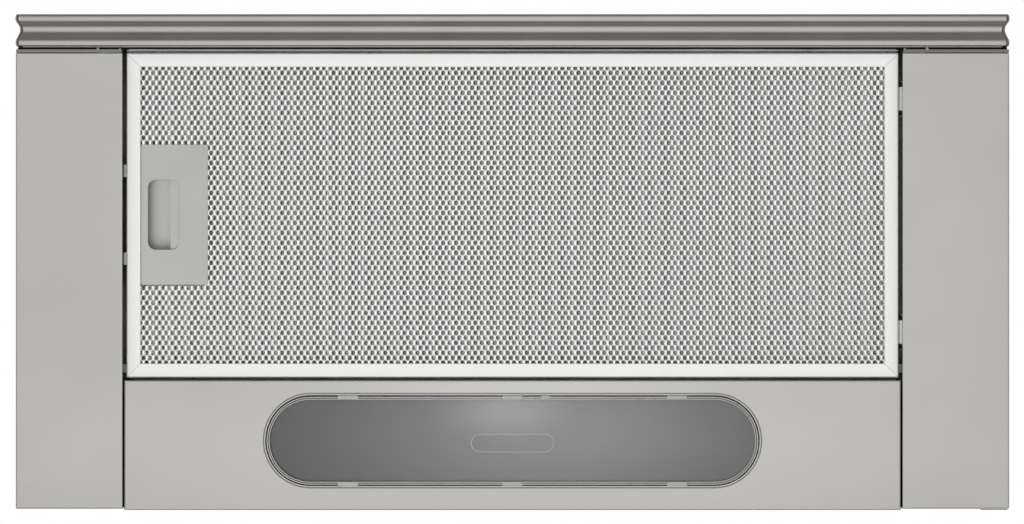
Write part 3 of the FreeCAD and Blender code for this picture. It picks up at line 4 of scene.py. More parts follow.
import bpy
import numpy as np
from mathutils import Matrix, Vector

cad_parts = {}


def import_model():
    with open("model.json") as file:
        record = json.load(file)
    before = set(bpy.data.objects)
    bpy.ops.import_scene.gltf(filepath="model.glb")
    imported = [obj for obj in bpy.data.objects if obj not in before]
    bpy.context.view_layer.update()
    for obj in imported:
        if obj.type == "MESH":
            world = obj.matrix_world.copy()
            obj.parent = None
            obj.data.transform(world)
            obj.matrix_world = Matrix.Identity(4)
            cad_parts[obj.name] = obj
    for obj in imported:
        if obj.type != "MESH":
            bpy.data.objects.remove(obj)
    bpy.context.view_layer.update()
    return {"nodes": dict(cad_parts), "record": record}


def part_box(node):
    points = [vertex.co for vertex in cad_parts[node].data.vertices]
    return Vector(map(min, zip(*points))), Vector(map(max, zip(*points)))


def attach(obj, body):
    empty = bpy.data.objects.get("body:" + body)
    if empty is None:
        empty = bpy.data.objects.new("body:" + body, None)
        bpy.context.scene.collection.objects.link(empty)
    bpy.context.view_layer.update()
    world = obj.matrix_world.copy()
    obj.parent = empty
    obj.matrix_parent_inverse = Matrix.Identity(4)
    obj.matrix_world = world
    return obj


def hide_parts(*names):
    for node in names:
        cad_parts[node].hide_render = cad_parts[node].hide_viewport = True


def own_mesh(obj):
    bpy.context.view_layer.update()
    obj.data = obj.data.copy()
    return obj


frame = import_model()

# Pull-out cooker hood, seen from straight below with its drawer shut.
# Metres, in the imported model's frame: +X is the user's right, -Y the front, +Z up.

MM = 0.001

# Camera: what it sees at the hood's underside, as a width and a centre
CAMERA_DISTANCE = 1.5
VIEW_WIDTH = 0.6159
VIEW_CENTRE = (-0.0003, -0.00015)
SENSOR_WIDTH = 36.0
CLIP_END = 50.0

# Studio: the floor lies far below, and its glow for reflections fades outwards from the middle
FLOOR_DROP = 3.6
FLOOR_RADIUS = 13.0
FLOOR_STEPS = 96
FLOOR_COLOUR = (0.80, 0.80, 0.79, 1.0)
FLOOR_ROUGHNESS = 0.8
FLOOR_CLOUD = 1.3
FLOOR_VARY = 0.03
GLOW_MIDDLE = 1.0
GLOW_OUTSIDE = 0.25
GLOW_FADE = (FLOOR_DROP * 1.035, FLOOR_DROP * 1.30)
SKY_LIGHT = 0.55

# Trim: each curve is (distance of its middle behind the front, radius)
FRONT_BEAD = (2.5 * MM, 5.0 * MM)
COVE = (9.3 * MM, 6.0 * MM)
REAR_BEAD = (17.1 * MM, 5.6 * MM)
OGEE_SLOPE = math.radians(22.0)
ARC_STEPS = 18
CAP_THICKNESS = 1.6 * MM
CAP_SEAM = 0.35 * MM
TRIM_CHAMFER = 0.35 * MM
REAR_LIP_DEPTH = 0.55 * MM
REAR_LIP_RISE = 8.0 * MM

# Narrow gaps around the drawer, whose hidden faces get painted shade
PLATE_SHEET = 0.9 * MM
LUG_REACH = 3.0 * MM
EDGE_LIP_BOTTOM = 6.0 * MM
EDGE_FOOT = 1.5 * MM
GAP_TOLERANCE = 0.1 * MM

# Drawer filter's frame
FRAME_LIP = 8.5 * MM
FRAME_WALL = 1.0 * MM
FRAME_EDGE = 0.9 * MM
EDGE_STEPS = 6
MITRE_GAP = 0.1 * MM
PRONG_YS = (-55.04 * MM, -2.24 * MM)
PRONG_SLOT_WIDTH = 8.0 * MM
PRONG_SLOT_BOTTOM = 2.5 * MM
PRONG_SLOT_TOP = 5.5 * MM

# Expanded sheets: bonds in rows, with their shape as shares of the pitch and of the row
MESH_SHEET = 0.9 * MM
MESH_THICKNESS = 0.35 * MM
CELL_WIDTH = 3.88 * MM
CELL_ROW = 3.01 * MM
BOND_HALF_WIDTH = 0.185
BOND_WAIST = 0.28
BOND_TIP = 0.468
BOND_CORNERS = 6
BOND_LEAN_X = 0.04
BOND_LEAN_Y = 0.07
LEAN_SPREAD = 0.015
LIFT_SPREAD = 0.015 * MM
CORNER_SPREAD = 0.03 * MM
PLEATS = 44
SHEET_UNDER_LIP = 4.5 * MM
SHEET_UNDER_LATCH = -1.0 * MM
FILLING_LATCH_GAP = 1.6 * MM
FILLING_SHIFT = 0.62

# Second filter: coarser sheets, left out around its latch
SECOND_SCALE = 1.25
SECOND_INSET = 3.0 * MM
SECOND_LATCH_HALF_WIDTH = 19.0 * MM
SECOND_LATCH_DEPTH = 27.0 * MM

# Lens: its rim runs inwards as (distance in from the edge, height), with two flats that touch zero
LENS_WALL = 2.5 * MM
LENS_RIM_HEIGHT = 0.9 * MM
LENS_RIM = (
    (0.0, LENS_RIM_HEIGHT), (0.15 * MM, 0.3 * MM), (0.35 * MM, 0.0), (0.8 * MM, 0.0),
    (1.0 * MM, 0.3 * MM), (1.4 * MM, 0.3 * MM), (1.55 * MM, 0.0), (1.95 * MM, 0.0),
    (2.15 * MM, 0.3 * MM), (2.4 * MM, LENS_RIM_HEIGHT),
)
LENS_FLOOR = (LENS_WALL + 0.3 * MM, LENS_WALL + 0.6 * MM)
FLAT_TOLERANCE = 0.1 * MM

# Lens mark: an empty oblong outline, as its size and the section of its raised line
LENS_MARK = (50.0 * MM, 11.0 * MM)
LENS_MARK_OFFSET = 1.5 * MM
LENS_MARK_LINE = ((0.0, 0.0), (0.05 * MM, 0.1 * MM), (0.35 * MM, 0.1 * MM), (0.4 * MM, 0.0))

# Lens clips, the pads that show below them, and the moulding gate
CLIP_WIDTH = 13.5 * MM
CLIP_SPACING = 99.0 * MM
CLIP_REACH = 1.3 * MM
CLIP_HEIGHTS = (3.3 * MM, 5.3 * MM)
PAD_WIDTH = 12.0 * MM
PAD_REACH = 0.48 * MM
PAD_HEIGHTS = (0.2 * MM, 5.2 * MM)
RIM_WIDTH = 1.9 * MM
GATE_OFFSET = 19.9 * MM
GATE_WIDTH = 5.4 * MM
GATE_HEIGHTS = (0.2 * MM, 3.3 * MM)

# Tubular lamps: a metal cap with a rolled thread, a neck and a round glass end
LAMP_CAP_RADIUS = 6.8 * MM
LAMP_CAP_LENGTH = 22.3 * MM
LAMP_CONTACT = [(0.0, 1.0 * MM), (0.2 * MM, 3.0 * MM), (1.5 * MM, 4.5 * MM)]
THREAD_START = 3.0 * MM
THREAD_LENGTH = 15.0 * MM
THREAD_DEPTH = 0.35 * MM
THREAD_TURNS = 6
THREAD_STEPS = 6
LAMP_NECK_LENGTH = 8.0 * MM
LAMP_NECK_STEPS = 8
LAMP_END_STEPS = 12
LAMP_TIP_RADIUS = 0.3 * MM
GLASS_INSIDE = (0.5 * MM, 0.3 * MM)
GLASS_SEAT = 0.2 * MM

# Latch springs
SPRING_RADIUS = 1.0 * MM
SPRING_WIRE = 0.2 * MM
SPRING_TURNS = 9
SPRING_STEPS = 16

BODY_OF = {
    node: body
    for body, nodes in frame["record"]["behaviour"]["bodies"].items()
    for node in nodes
}
SLOT_OF = {part["node"]: part["material_slot"] for part in frame["record"]["subparts"]}


# Shader helpers

CLEAR_PLASTIC_IOR = 1.49


def add(tree, kind, sockets=None, **settings):
    """One shader node: its settings made, each named socket given a value or joined to an output."""
    node = tree.nodes.new(kind)
    for name, value in settings.items():
        setattr(node, name, value)
    for name, value in (sockets or {}).items():
        socket = node.inputs[name]
        if isinstance(value, bpy.types.NodeSocket):
            tree.links.new(value, socket)
        else:
            socket.default_value = value
    return node


def stretched(tree, scale):
    """The piece's own coordinates, scaled on each axis."""
    place = add(tree, "ShaderNodeTexCoord").outputs["Object"]
    return add(tree, "ShaderNodeMapping", {"Vector": place, "Scale": scale}).outputs["Vector"]


def noise(tree, scale, detail=3.0):
    """A noise between zero and one, with a scale for each axis."""
    sockets = {"Vector": stretched(tree, scale), "Scale": 1.0, "Detail": detail}
    return add(tree, "ShaderNodeTexNoise", sockets).outputs["Fac"]


def spread(tree, value, low, high, start=0.25, end=0.75):
    """A texture's usual range, start to end, stretched to low and high."""
    sockets = {"Value": value, "From Min": start, "From Max": end, "To Min": low, "To Max": high}
    return add(tree, "ShaderNodeMapRange", sockets, clamp=True).outputs["Result"]


def vary_level(tree, value, amount, start=0.25, end=0.75):
    """A texture as a level that swings by an amount on both sides of one."""
    return spread(tree, value, 1 - amount, 1 + amount, start, end)


def times(tree, a, b):
    """The product of two values."""
    return add(tree, "ShaderNodeMath", {0: a, 1: b}, operation="MULTIPLY").outputs[0]


def shaded(tree, colour, level):
    """A colour made lighter and darker by a level near one."""
    sockets = {0: 1.0, 6: colour, 7: level}
    return add(tree, "ShaderNodeMix", sockets, data_type="RGBA", blend_type="MULTIPLY").outputs[2]


def any_ray(tree, *kinds):
    """One for a ray that is any of these kinds, and zero for the rest."""
    path = add(tree, "ShaderNodeLightPath")
    seen = path.outputs[kinds[0]]
    for kind in kinds[1:]:
        seen = add(tree, "ShaderNodeMath", {0: path.outputs[kind], 1: seen}, operation="MAXIMUM").outputs[0]
    return seen


def pool(tree, centre, size, middle, outside):
    """A soft oval of painted light or shade that changes a surface's level from its middle outwards."""
    place = add(tree, "ShaderNodeTexCoord").outputs["Object"]
    offset = add(tree, "ShaderNodeVectorMath", {0: place, 1: centre}, operation="SUBTRACT")
    scaled = add(tree, "ShaderNodeVectorMath", {0: offset.outputs["Vector"], 1: size}, operation="DIVIDE")
    reach = add(tree, "ShaderNodeVectorMath", {0: scaled.outputs["Vector"]}, operation="LENGTH")
    sockets = {
        "Value": reach.outputs["Value"],
        "From Min": 0.0,
        "From Max": 1.0,
        "To Min": middle,
        "To Max": outside,
    }
    return add(tree, "ShaderNodeMapRange", sockets, interpolation_type="SMOOTHSTEP").outputs["Result"]


def surface(name, colour, metallic, roughness, grain, **look):
    """A material with fine grain, slow clouds, uneven gloss, bump and rounded-looking edges.
    cells adds patches, and each of the painted light pools makes an oval lighter or darker: painted light or
    shade."""
    cloud = look.get("cloud", 30.0)
    gloss_vary = look.get("gloss_vary", 0.06)
    material = bpy.data.materials.new(name)
    material.use_nodes = True
    tree = material.node_tree
    shader = tree.nodes["Principled BSDF"]
    fine = noise(tree, grain, 4.0)
    slow = noise(tree, (cloud, cloud, cloud))
    level = times(
        tree,
        vary_level(tree, fine, look.get("vary", 0.06)),
        vary_level(tree, slow, look.get("cloud_vary", 0.06)),
    )
    if "cells" in look:
        place = stretched(tree, (look["cells"], look["cells"], look["cells"]))
        cells = add(tree, "ShaderNodeTexVoronoi", {"Vector": place, "Scale": 1.0})
        patch = add(tree, "ShaderNodeSeparateColor", {"Color": cells.outputs["Color"]}).outputs[0]
        level = times(tree, level, vary_level(tree, patch, look["cell_vary"], 0.0, 1.0))
    base = shaded(tree, (*colour, 1.0), level)
    # Each painted light pool multiplies the colour: painted light or shade in a soft oval
    for centre, size, middle, outside in look.get("pools", ()):
        base = shaded(tree, base, pool(tree, centre, size, middle, outside))
    tree.links.new(base, shader.inputs["Base Color"])
    shader.inputs["Metallic"].default_value = metallic
    gloss = spread(tree, slow, roughness - gloss_vary, roughness + gloss_vary)
    tree.links.new(gloss, shader.inputs["Roughness"])
    edge = add(tree, "ShaderNodeBevel", {"Radius": look.get("edge", 0.3 * MM)}, samples=4)
    bump = add(tree, "ShaderNodeBump", {
        "Strength": look.get("bump", 0.2),
        "Distance": look.get("depth", 0.02 * MM),
        "Height": fine,
        "Normal": edge.outputs["Normal"],
    })
    tree.links.new(bump.outputs["Normal"], shader.inputs["Normal"])
    if "specular" in look:
        shader.inputs["Specular IOR Level"].default_value = look["specular"]
    if "transmission" in look:
        shader.inputs["Transmission Weight"].default_value = look["transmission"]
        shader.inputs["IOR"].default_value = CLEAR_PLASTIC_IOR
    return material


# Materials: colour, metallic and roughness, then the grain's scale on each axis

EXTRUDED_GRAIN = (25.0, 5000.0, 5000.0)
BRUSHED_GRAIN = (60.0, 9000.0, 9000.0)
SATIN_GRAIN = (80.0, 80.0, 80.0)
MOULDED_GRAIN = (2600.0, 2600.0, 2600.0)
SHEET_GRAIN = (900.0, 900.0, 900.0)

materials = {
    "trim_aluminium": surface(
        "trim_aluminium", (0.515, 0.492, 0.465), 1.0, 0.22, EXTRUDED_GRAIN,
        vary=0.03, cloud_vary=0.05, gloss_vary=0.03, bump=0.08,
    ),
    "satin_aluminium": surface(
        "satin_aluminium", (0.89, 0.89, 0.87), 1.0, 0.22, SATIN_GRAIN,
        vary=0.02, cloud_vary=0.03, gloss_vary=0.04, bump=0.05,
    ),
    "mesh_aluminium": surface(
        "mesh_aluminium", (0.97, 0.97, 0.96), 1.0, 0.20, SHEET_GRAIN,
        vary=0.03, cloud_vary=0.02, bump=0.15, edge=0.35 * MM,
    ),
    "mesh_strand": surface(
        "mesh_strand", (0.80, 0.80, 0.79), 0.85, 0.45, SHEET_GRAIN,
        vary=0.08, cloud_vary=0.03, bump=0.2, edge=0.10 * MM,
        # Painted light: a soft oval lightens the strands in the middle of the drawer filter
        pools=[((0.0, -0.028, 0.0), (0.14, 0.20, 1.0), 1.10, 1.0)],
    ),
    "filter_wool": surface(
        "filter_wool", (0.62, 0.62, 0.61), 0.25, 0.50, SHEET_GRAIN,
        vary=0.08, cloud_vary=0.04, bump=0.2, edge=0.08 * MM,
    ),
    "stainless": surface(
        "stainless", (0.562, 0.55, 0.523), 1.0, 0.30, BRUSHED_GRAIN,
        vary=0.035, cloud_vary=0.03, cloud=9.0, bump=0.10, depth=0.01 * MM,
        # Painted light: two soft ovals lighten the steel of the lamp panel and round the lens, a painted
        # reflection
        pools=(
            ((0.0, 0.11, 0.0), (0.42, 0.05, 1.0), 1.09, 1.0),
            ((0.01, 0.073, 0.0), (0.2, 0.03, 1.0), 1.12, 1.0),
        ),
    ),
    "galvanised": surface(
        "galvanised", (0.50, 0.51, 0.51), 1.0, 0.42, SHEET_GRAIN,
        vary=0.05, cloud_vary=0.06, cells=75.0, cell_vary=0.10, bump=0.12,
    ),
    "zinc_steel": surface(
        "zinc_steel", (0.58, 0.575, 0.54), 1.0, 0.30, SHEET_GRAIN,
        vary=0.06, cloud_vary=0.08, cloud=90.0, bump=0.15, edge=0.2 * MM,
    ),
    "reflector": surface(
        "reflector", (0.58, 0.58, 0.58), 1.0, 0.45, SHEET_GRAIN,
        vary=0.05, cloud_vary=0.05, bump=0.1,
    ),
    "dark_plastic": surface(
        "dark_plastic", (0.022, 0.022, 0.023), 0.0, 0.42, MOULDED_GRAIN,
        vary=0.12, cloud_vary=0.10, bump=0.35,
    ),
    "grey_plastic": surface(
        "grey_plastic", (0.17, 0.168, 0.163), 0.0, 0.45, MOULDED_GRAIN,
        vary=0.08, cloud_vary=0.06, bump=0.3,
    ),
    "latch_plastic": surface(
        "latch_plastic", (0.402, 0.407, 0.378), 0.0, 0.40, MOULDED_GRAIN,
        vary=0.04, cloud_vary=0.05, bump=0.2,
        # Painted light: a narrow oval lightens this plastic at the filter's hinge tabs, which sit in shade
        pools=[((0.235, -0.028, 0.0), (0.05, 0.30, 1.0), 1.9, 1.0)],
    ),
    "white_plastic": surface(
        "white_plastic", (0.72, 0.715, 0.68), 0.0, 0.36, MOULDED_GRAIN,
        vary=0.03, cloud_vary=0.04, bump=0.15,
    ),
    "clear_lens": surface(
        "clear_lens", (0.478, 0.474, 0.476), 0.0, 0.70, SHEET_GRAIN,
        vary=0.03, cloud_vary=0.02, bump=0.1, transmission=0.62,
        # Painted light and shade: a small bright patch is a painted highlight, and a wide oval keeps the
        # middle light and darkens the lens's ends
        pools=(
            ((-0.006, 0.089, 0.0), (0.05, 0.022, 1.0), 1.38, 1.0),
            ((0.03, 0.100, 0.0), (0.20, 0.09, 1.0), 1.05, 0.45),
        ),
    ),
    "frosted_glass": surface(
        "frosted_glass", (0.88, 0.88, 0.86), 0.0, 0.30, SHEET_GRAIN,
        vary=0.02, cloud_vary=0.03, bump=0.05, transmission=0.5,
    ),
    "motor_paint": surface(
        "motor_paint", (0.085, 0.09, 0.095), 0.3, 0.38, SHEET_GRAIN,
        vary=0.06, cloud_vary=0.08, bump=0.2,
    ),
}

# Looks for places on a piece, beside its material slot's own: painted shade for narrow gaps, and painted
# highlights on the lens's mark, clips and rim

# Near-black look with little gloss: painted shade for faces deep in the narrow gaps, where only shadow falls
painted_shade_look = surface(
    "painted_shade_gap", (0.012, 0.012, 0.012), 0.0, 0.6, MOULDED_GRAIN,
    vary=0.12, cloud_vary=0.10, bump=0.3, specular=0.1,
)
# Painted highlight: the raised outline is lighter and less clear than the lens, for the light it catches
lens_mark_highlight_look = surface(
    "lens_mark", (0.86, 0.86, 0.85), 0.0, 0.70, SHEET_GRAIN,
    vary=0.03, bump=0.1, transmission=0.50,
)
# Painted highlight: the clips, pads and gate are lighter and less clear than the lens, for the light they
# catch
lens_clip_highlight_look = surface(
    "lens_clip", (0.60, 0.60, 0.59), 0.0, 0.35, SHEET_GRAIN,
    vary=0.08, cloud_vary=0.10, bump=0.1, transmission=0.45,
)
# Painted highlight: the rim's two flats are lighter and less clear than the lens, for the thin bright line
# of light along the rim
lens_rim_highlight_look = surface(
    "lens_rim_highlight", (0.70, 0.70, 0.69), 0.0, 0.3, SHEET_GRAIN,
    vary=0.04, bump=0.1, transmission=0.35,
)


# Mesh helpers


def mesh_piece(name, points, faces, slot, body, replaced=(), smooth_angle=None):
    """A mesh that rides on a body, with the finish of its material slot, in place of CAD nodes."""
    mesh = bpy.data.meshes.new(name)
    mesh.from_pydata(points, [], faces)
    mesh.update()
    piece = bpy.data.objects.new(name, mesh)
    bpy.context.scene.collection.objects.link(piece)
    mesh.materials.append(materials[slot])
    if smooth_angle is not None:
        mesh.shade_smooth()
        mesh.set_sharp_from_angle(angle=math.radians(smooth_angle))
    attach(piece, body)
    if replaced:
        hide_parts(*replaced)
    return piece


def skin(loops, closed_ends=True):
    """Faces between loops of equal length, each joined to the next, with the first and last filled."""
    points = [point for loop in loops for point in loop]
    size = len(loops[0])
    faces = []
    for i in range(len(loops) - 1):
        for j in range(size):
            k = (j + 1) % size
            faces.append((i * size + j, i * size + k, (i + 1) * size + k, (i + 1) * size + j))
    if closed_ends:
        faces.append(tuple(range(size))[::-1])
        last = (len(loops) - 1) * size
        faces.append(tuple(last + j for j in range(size)))
    return points, faces


def joined(parts):
    """Several (points, faces) pairs as one."""
    points = []
    faces = []
    for part_points, part_faces in parts:
        start = len(points)
        points.extend(part_points)
        faces.extend(tuple(i + start for i in face) for face in part_faces)
    return points, faces


def mirrored(part):
    """The same shape on the other side of the hood's middle."""
    points, faces = part
    return [(-x, y, z) for x, y, z in points], [face[::-1] for face in faces]


def ring(centre, side, other, radius, steps):
    """A circle about a centre, in the plane of two directions."""
    return [
        tuple(centre + (side * math.cos(turn) + other * math.sin(turn)) * radius)
        for turn in (math.tau * i / steps for i in range(steps))
    ]


def lathe(profile, origin, axis, steps=40):
    """A closed solid turned about an axis; the profile runs from pole to pole as (along, radius)."""
    along = Vector(axis).normalized()
    side = along.orthogonal().normalized()
    other = along.cross(side)
    return skin([
        ring(Vector(origin) + along * distance, side, other, radius, steps) for distance, radius in profile
    ])


def tube(path, radius, steps):
    """A round wire along a list of points."""
    loops = []
    for i, point in enumerate(path):
        before = path[max(i - 1, 0)]
        after = path[min(i + 1, len(path) - 1)]
        along = (after - before).normalized()
        side = along.cross(Vector((0, 0, 1))).normalized()
        loops.append(ring(point, side, side.cross(along), radius, steps))
    return skin(loops)


# CAD nodes that keep their shape

for node_name, cad_node in frame["nodes"].items():
    cad_node.data.materials.clear()
    cad_node.data.materials.append(materials[SLOT_OF[node_name]])


def painted_shade_gaps():
    """Faces that show only inside the narrow gaps around the drawer are painted dark: painted shade for the
    shadow deep in the gaps.
    """
    plate_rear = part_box("trim_bar")[1].y + PLATE_SHEET
    lug_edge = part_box("filter_frame")[1].x + LUG_REACH
    edge_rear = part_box("edge_piece_left")[1].y - GAP_TOLERANCE

    def behind_trim(place):
        on_lip = abs(place.z - EDGE_LIP_BOTTOM) < GAP_TOLERANCE
        return on_lip or (place.y > edge_rear and place.z < EDGE_FOOT)

    hidden = {
        "drawer_front_plate": lambda place: place.y < plate_rear,
        "drawer_arm_right": lambda place: place.x < lug_edge,
        "edge_piece_left": behind_trim,
        "control_panel": behind_trim,
    }
    # Faces deep in these gaps take the near-black look: painted shade
    for name, inside in hidden.items():
        piece = frame["nodes"][name]
        piece.data.materials.append(painted_shade_look)
        for face in piece.data.polygons:
            if inside(piece.matrix_world @ face.center):
                face.material_index = 1


# Trim bar and its end caps


def moulding(depth):
    """(distance behind the front, rise above the lowest line) along bead, cove, slope and bead."""
    arcs = COVE[1] + REAR_BEAD[1]
    slope_length = REAR_BEAD[0] - COVE[0] - arcs * math.sin(OGEE_SLOPE)
    high = arcs * (1 - math.cos(OGEE_SLOPE)) + slope_length * math.tan(OGEE_SLOPE)
    reach = COVE[1] + FRONT_BEAD[1]
    front_turn = math.asin((COVE[0] - FRONT_BEAD[0]) / reach)
    front_height = high - reach * (1 - math.cos(front_turn))
    front_start = -math.asin(FRONT_BEAD[0] / FRONT_BEAD[1])
    rear_end = math.asin((depth - REAR_BEAD[0]) / REAR_BEAD[1])
    samples = []
    for (offset, radius), height, start, end, way in (
        (FRONT_BEAD, front_height, front_start, front_turn, 1),
        (COVE, high, -front_turn, OGEE_SLOPE, -1),
        (REAR_BEAD, 0.0, -OGEE_SLOPE, rear_end, 1),
    ):
        first = 0 if way > 0 else 1
        for i in range(first, ARC_STEPS + 1):
            turn = start + (end - start) * i / ARC_STEPS
            rise = height + way * radius * (1 - math.cos(turn))
            samples.append((offset + radius * math.sin(turn), rise))
    lowest = min(rise for _, rise in samples)
    return [(back, rise - lowest) for back, rise in samples]


def trim():
    """The moulding, with the same curve returned at both ends, and a cap on each end."""
    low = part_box("trim_cap_left")[0]
    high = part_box("trim_cap_right")[1]
    depth = high.y - low.y
    bar_end = high.x - CAP_THICKNESS
    profile = moulding(depth)
    cut = TRIM_CHAMFER
    top = high.z

    step = depth - REAR_LIP_DEPTH
    bar_profile = [(back, rise, rise) for back, rise in profile if back < step]
    last = bar_profile[-1][1]
    bar_profile += [(step, last, last), (step, last, REAR_LIP_RISE), (depth, last, REAR_LIP_RISE)]
    bar_loops = []
    for back, end_rise, rise in bar_profile:
        y = low.y + back
        z = low.z + rise
        end = bar_end - end_rise
        bar_loops.append([
            (-end + cut, y, z), (end - cut, y, z), (end, y, z + cut), (end, y, top - cut),
            (end - cut, y, top), (-end + cut, y, top), (-end, y, top - cut), (-end, y, z + cut),
        ])
    points, faces = skin(bar_loops)
    mesh_piece(
        "trim_bar_moulding", points, faces, "trim_aluminium", "drawer", ["trim_bar"], smooth_angle=25,
    )

    cap_loops = []
    for back, rise in profile:
        y = low.y + back
        z = low.z + rise
        end = bar_end - rise
        outer = high.x - rise
        inner = end + CAP_SEAM
        cap_loops.append([
            (inner, y, z + cut), (inner + cut / 2, y, z),
            (outer - 2 * cut, y, z), (outer - cut / 2, y, z + cut / 2), (outer, y, z + 2 * cut),
            (outer, y, top - 2 * cut), (outer - cut / 2, y, top - cut / 2), (outer - 2 * cut, y, top),
            (end + cut, y, top), (end + cut / 8, y, top - cut), (end + cut / 8, y, z + 3 * cut),
            (inner, y, z + 3 * cut),
        ])
    right = skin(cap_loops)
    for side, (points, faces) in (("right", right), ("left", mirrored(right))):
        name = f"trim_cap_{side}"
        mesh_piece(
            f"{name}_moulding", points, faces, SLOT_OF[name], "drawer", [name], smooth_angle=25,
        )


# Drawer filter


def rounded_channel(height):
    """The frame strip's section as (distance in from the outer face, height)."""
    corner = [
        (FRAME_EDGE * (1 - math.cos(turn)), FRAME_EDGE * (1 - math.sin(turn)))
        for turn in (math.pi / 2 * i / EDGE_STEPS for i in range(EDGE_STEPS + 1))
    ][::-1]
    lip = FRAME_LIP
    wall = FRAME_WALL
    round_off = wall / 4
    return corner + [
        (0.0, height), (lip, height), (lip, height - wall), (wall, height - wall), (wall, wall),
        (lip, wall), (lip, round_off), (lip - round_off, 0.0),
    ]


def carve(piece, blocks):
    """Cuts boxes, given as lowest and highest corners, out of a piece."""
    for low, high in blocks:
        points = [
            (x, y, z) for x in (low[0], high[0]) for y in (low[1], high[1]) for z in (low[2], high[2])
        ]
        faces = [(0, 1, 3, 2), (4, 6, 7, 5), (0, 4, 5, 1), (2, 3, 7, 6), (0, 2, 6, 4), (1, 5, 7, 3)]
        mesh = bpy.data.meshes.new("cutter")
        mesh.from_pydata(points, [], faces)
        cutter = bpy.data.objects.new("cutter", mesh)
        bpy.context.scene.collection.objects.link(cutter)
        cut = piece.modifiers.new("cut", "BOOLEAN")
        cut.object = cutter
        cut.solver = "EXACT"
        bpy.context.view_layer.update()
        result = piece.evaluated_get(bpy.context.evaluated_depsgraph_get())
        carved = bpy.data.meshes.new_from_object(result)
        piece.modifiers.clear()
        piece.data = carved
        bpy.data.objects.remove(cutter)


def filter_bars():
    """Four channel strips with mitred corners; the left one has the prongs' two slots."""
    low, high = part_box("filter_frame")
    section = rounded_channel(high.z - low.z)
    middle = (low + high) / 2
    half_x = (high.x - low.x) / 2
    half_y = (high.y - low.y) / 2
    sides = (
        ((1, 0), half_x, half_y), ((0, 1), half_y, half_x),
        ((-1, 0), half_x, half_y), ((0, -1), half_y, half_x),
    )
    bars = []
    for (cos, sin), half_length, half_width in sides:
        loops = []
        for end in (-1, 1):
            loop = []
            for inset, height in section:
                along = end * (half_length - inset - MITRE_GAP / 2)
                across = inset - half_width
                loop.append((
                    middle.x + along * cos - across * sin,
                    middle.y + along * sin + across * cos,
                    low.z + height,
                ))
            loops.append(loop)
        bars.append(skin(loops))
    points, faces = joined(bars)
    piece = mesh_piece(
        "filter_frame_bars", points, faces, "satin_aluminium", "drawer_filter", ["filter_frame"],
        smooth_angle=35,
    )
    half_slot = PRONG_SLOT_WIDTH / 2
    carve(piece, [
        (
            (low.x - FRAME_WALL, y - half_slot, low.z + PRONG_SLOT_BOTTOM),
            (low.x + 2 * FRAME_WALL, y + half_slot, low.z + PRONG_SLOT_TOP),
        )
        for y in PRONG_YS
    ])


def lattice(low_x, high_x, low_y, high_y, pitch, row):
    """The centres of an expanded sheet's bonds, as arrays of row and column, every other row set over."""
    columns = int((high_x - low_x) / pitch)
    rows = int((high_y - low_y) / row)
    column, line = np.meshgrid(np.arange(columns), np.arange(rows))
    shift = (line % 2) / 2 - 1 / 4
    x = (low_x + high_x - (columns - 1) * pitch) / 2 + (column + shift) * pitch
    y = (low_y + high_y - (rows - 1) * row) / 2 + line * row
    return x, y


def expanded_sheet(x, y, kept, pitch, row, height, seed):
    """A slit and stretched sheet: tilted six-sided bonds, each joined to four others by leaning strands.
    height gives the sheet's middle at a place."""
    rng = np.random.default_rng(seed)
    width = BOND_HALF_WIDTH * pitch
    waist = BOND_WAIST * row
    tip = BOND_TIP * row
    outline = [(width, -waist), (width, waist), (0, tip), (-width, waist), (-width, -waist), (0, -tip)]
    rows, columns = x.shape
    count = int(kept.sum())
    index = -np.ones((rows, columns), int)
    index[kept] = np.arange(count)
    points = np.zeros((2, count, BOND_CORNERS, 3))
    lean_x = BOND_LEAN_X + rng.normal(0, LEAN_SPREAD, count)
    lean_y = BOND_LEAN_Y + rng.normal(0, LEAN_SPREAD, count)
    lift = rng.normal(0, LIFT_SPREAD, count)
    for i, (dx, dy) in enumerate(outline):
        px = x[kept] + dx + rng.normal(0, CORNER_SPREAD, count)
        py = y[kept] + dy + rng.normal(0, CORNER_SPREAD, count)
        pz = height(px, py) + lean_x * dx + lean_y * dy + lift
        for side, offset in enumerate((-MESH_THICKNESS / 2, MESH_THICKNESS / 2)):
            points[side, :, i] = np.stack([px, py, pz + offset], axis=1)
    back = count * BOND_CORNERS
    bond = np.arange(count)[:, None] * BOND_CORNERS
    blocks = [bond + back + np.arange(BOND_CORNERS), bond + np.arange(BOND_CORNERS - 1, -1, -1)]

    def wall(a, b):
        blocks.append(np.stack([a, b, b + back, a + back], axis=1))

    line, column = np.nonzero(kept)
    ids = index[line, column] * BOND_CORNERS
    wall(ids, ids + 1)
    wall(ids + 3, ids + 4)
    # Row and column of the neighbour, this bond's two corners, and the neighbour's where a strand starts
    links = (
        (1, line % 2, (1, 2), (5, 4)),
        (1, line % 2 - 1, (2, 3), (0, 5)),
        (-1, line % 2, (0, 5), None),
        (-1, line % 2 - 1, (5, 4), None),
    )
    for step, shift, (first, second), theirs in links:
        other_line = line + step
        other_column = column + shift
        inside = (other_line >= 0) & (other_line < rows) & (other_column >= 0) & (other_column < columns)
        other = np.full(len(line), -1)
        other[inside] = index[other_line[inside], other_column[inside]]
        found = other >= 0
        alone = ids[~found]
        if theirs is None:
            wall(alone + second, alone + first)
            continue
        wall(alone + first, alone + second)
        a = ids[found]
        b = other[found] * BOND_CORNERS
        strand = [a + second, a + first, b + theirs[0], b + theirs[1]]
        blocks.append(np.stack([corner + back for corner in strand], axis=1))
        blocks.append(np.stack(strand[::-1], axis=1))
        wall(a + first, b + theirs[0])
        wall(b + theirs[1], a + second)
    polygons = [tuple(face) for block in blocks for face in block.tolist()]
    return points.reshape(-1, 3).tolist(), polygons


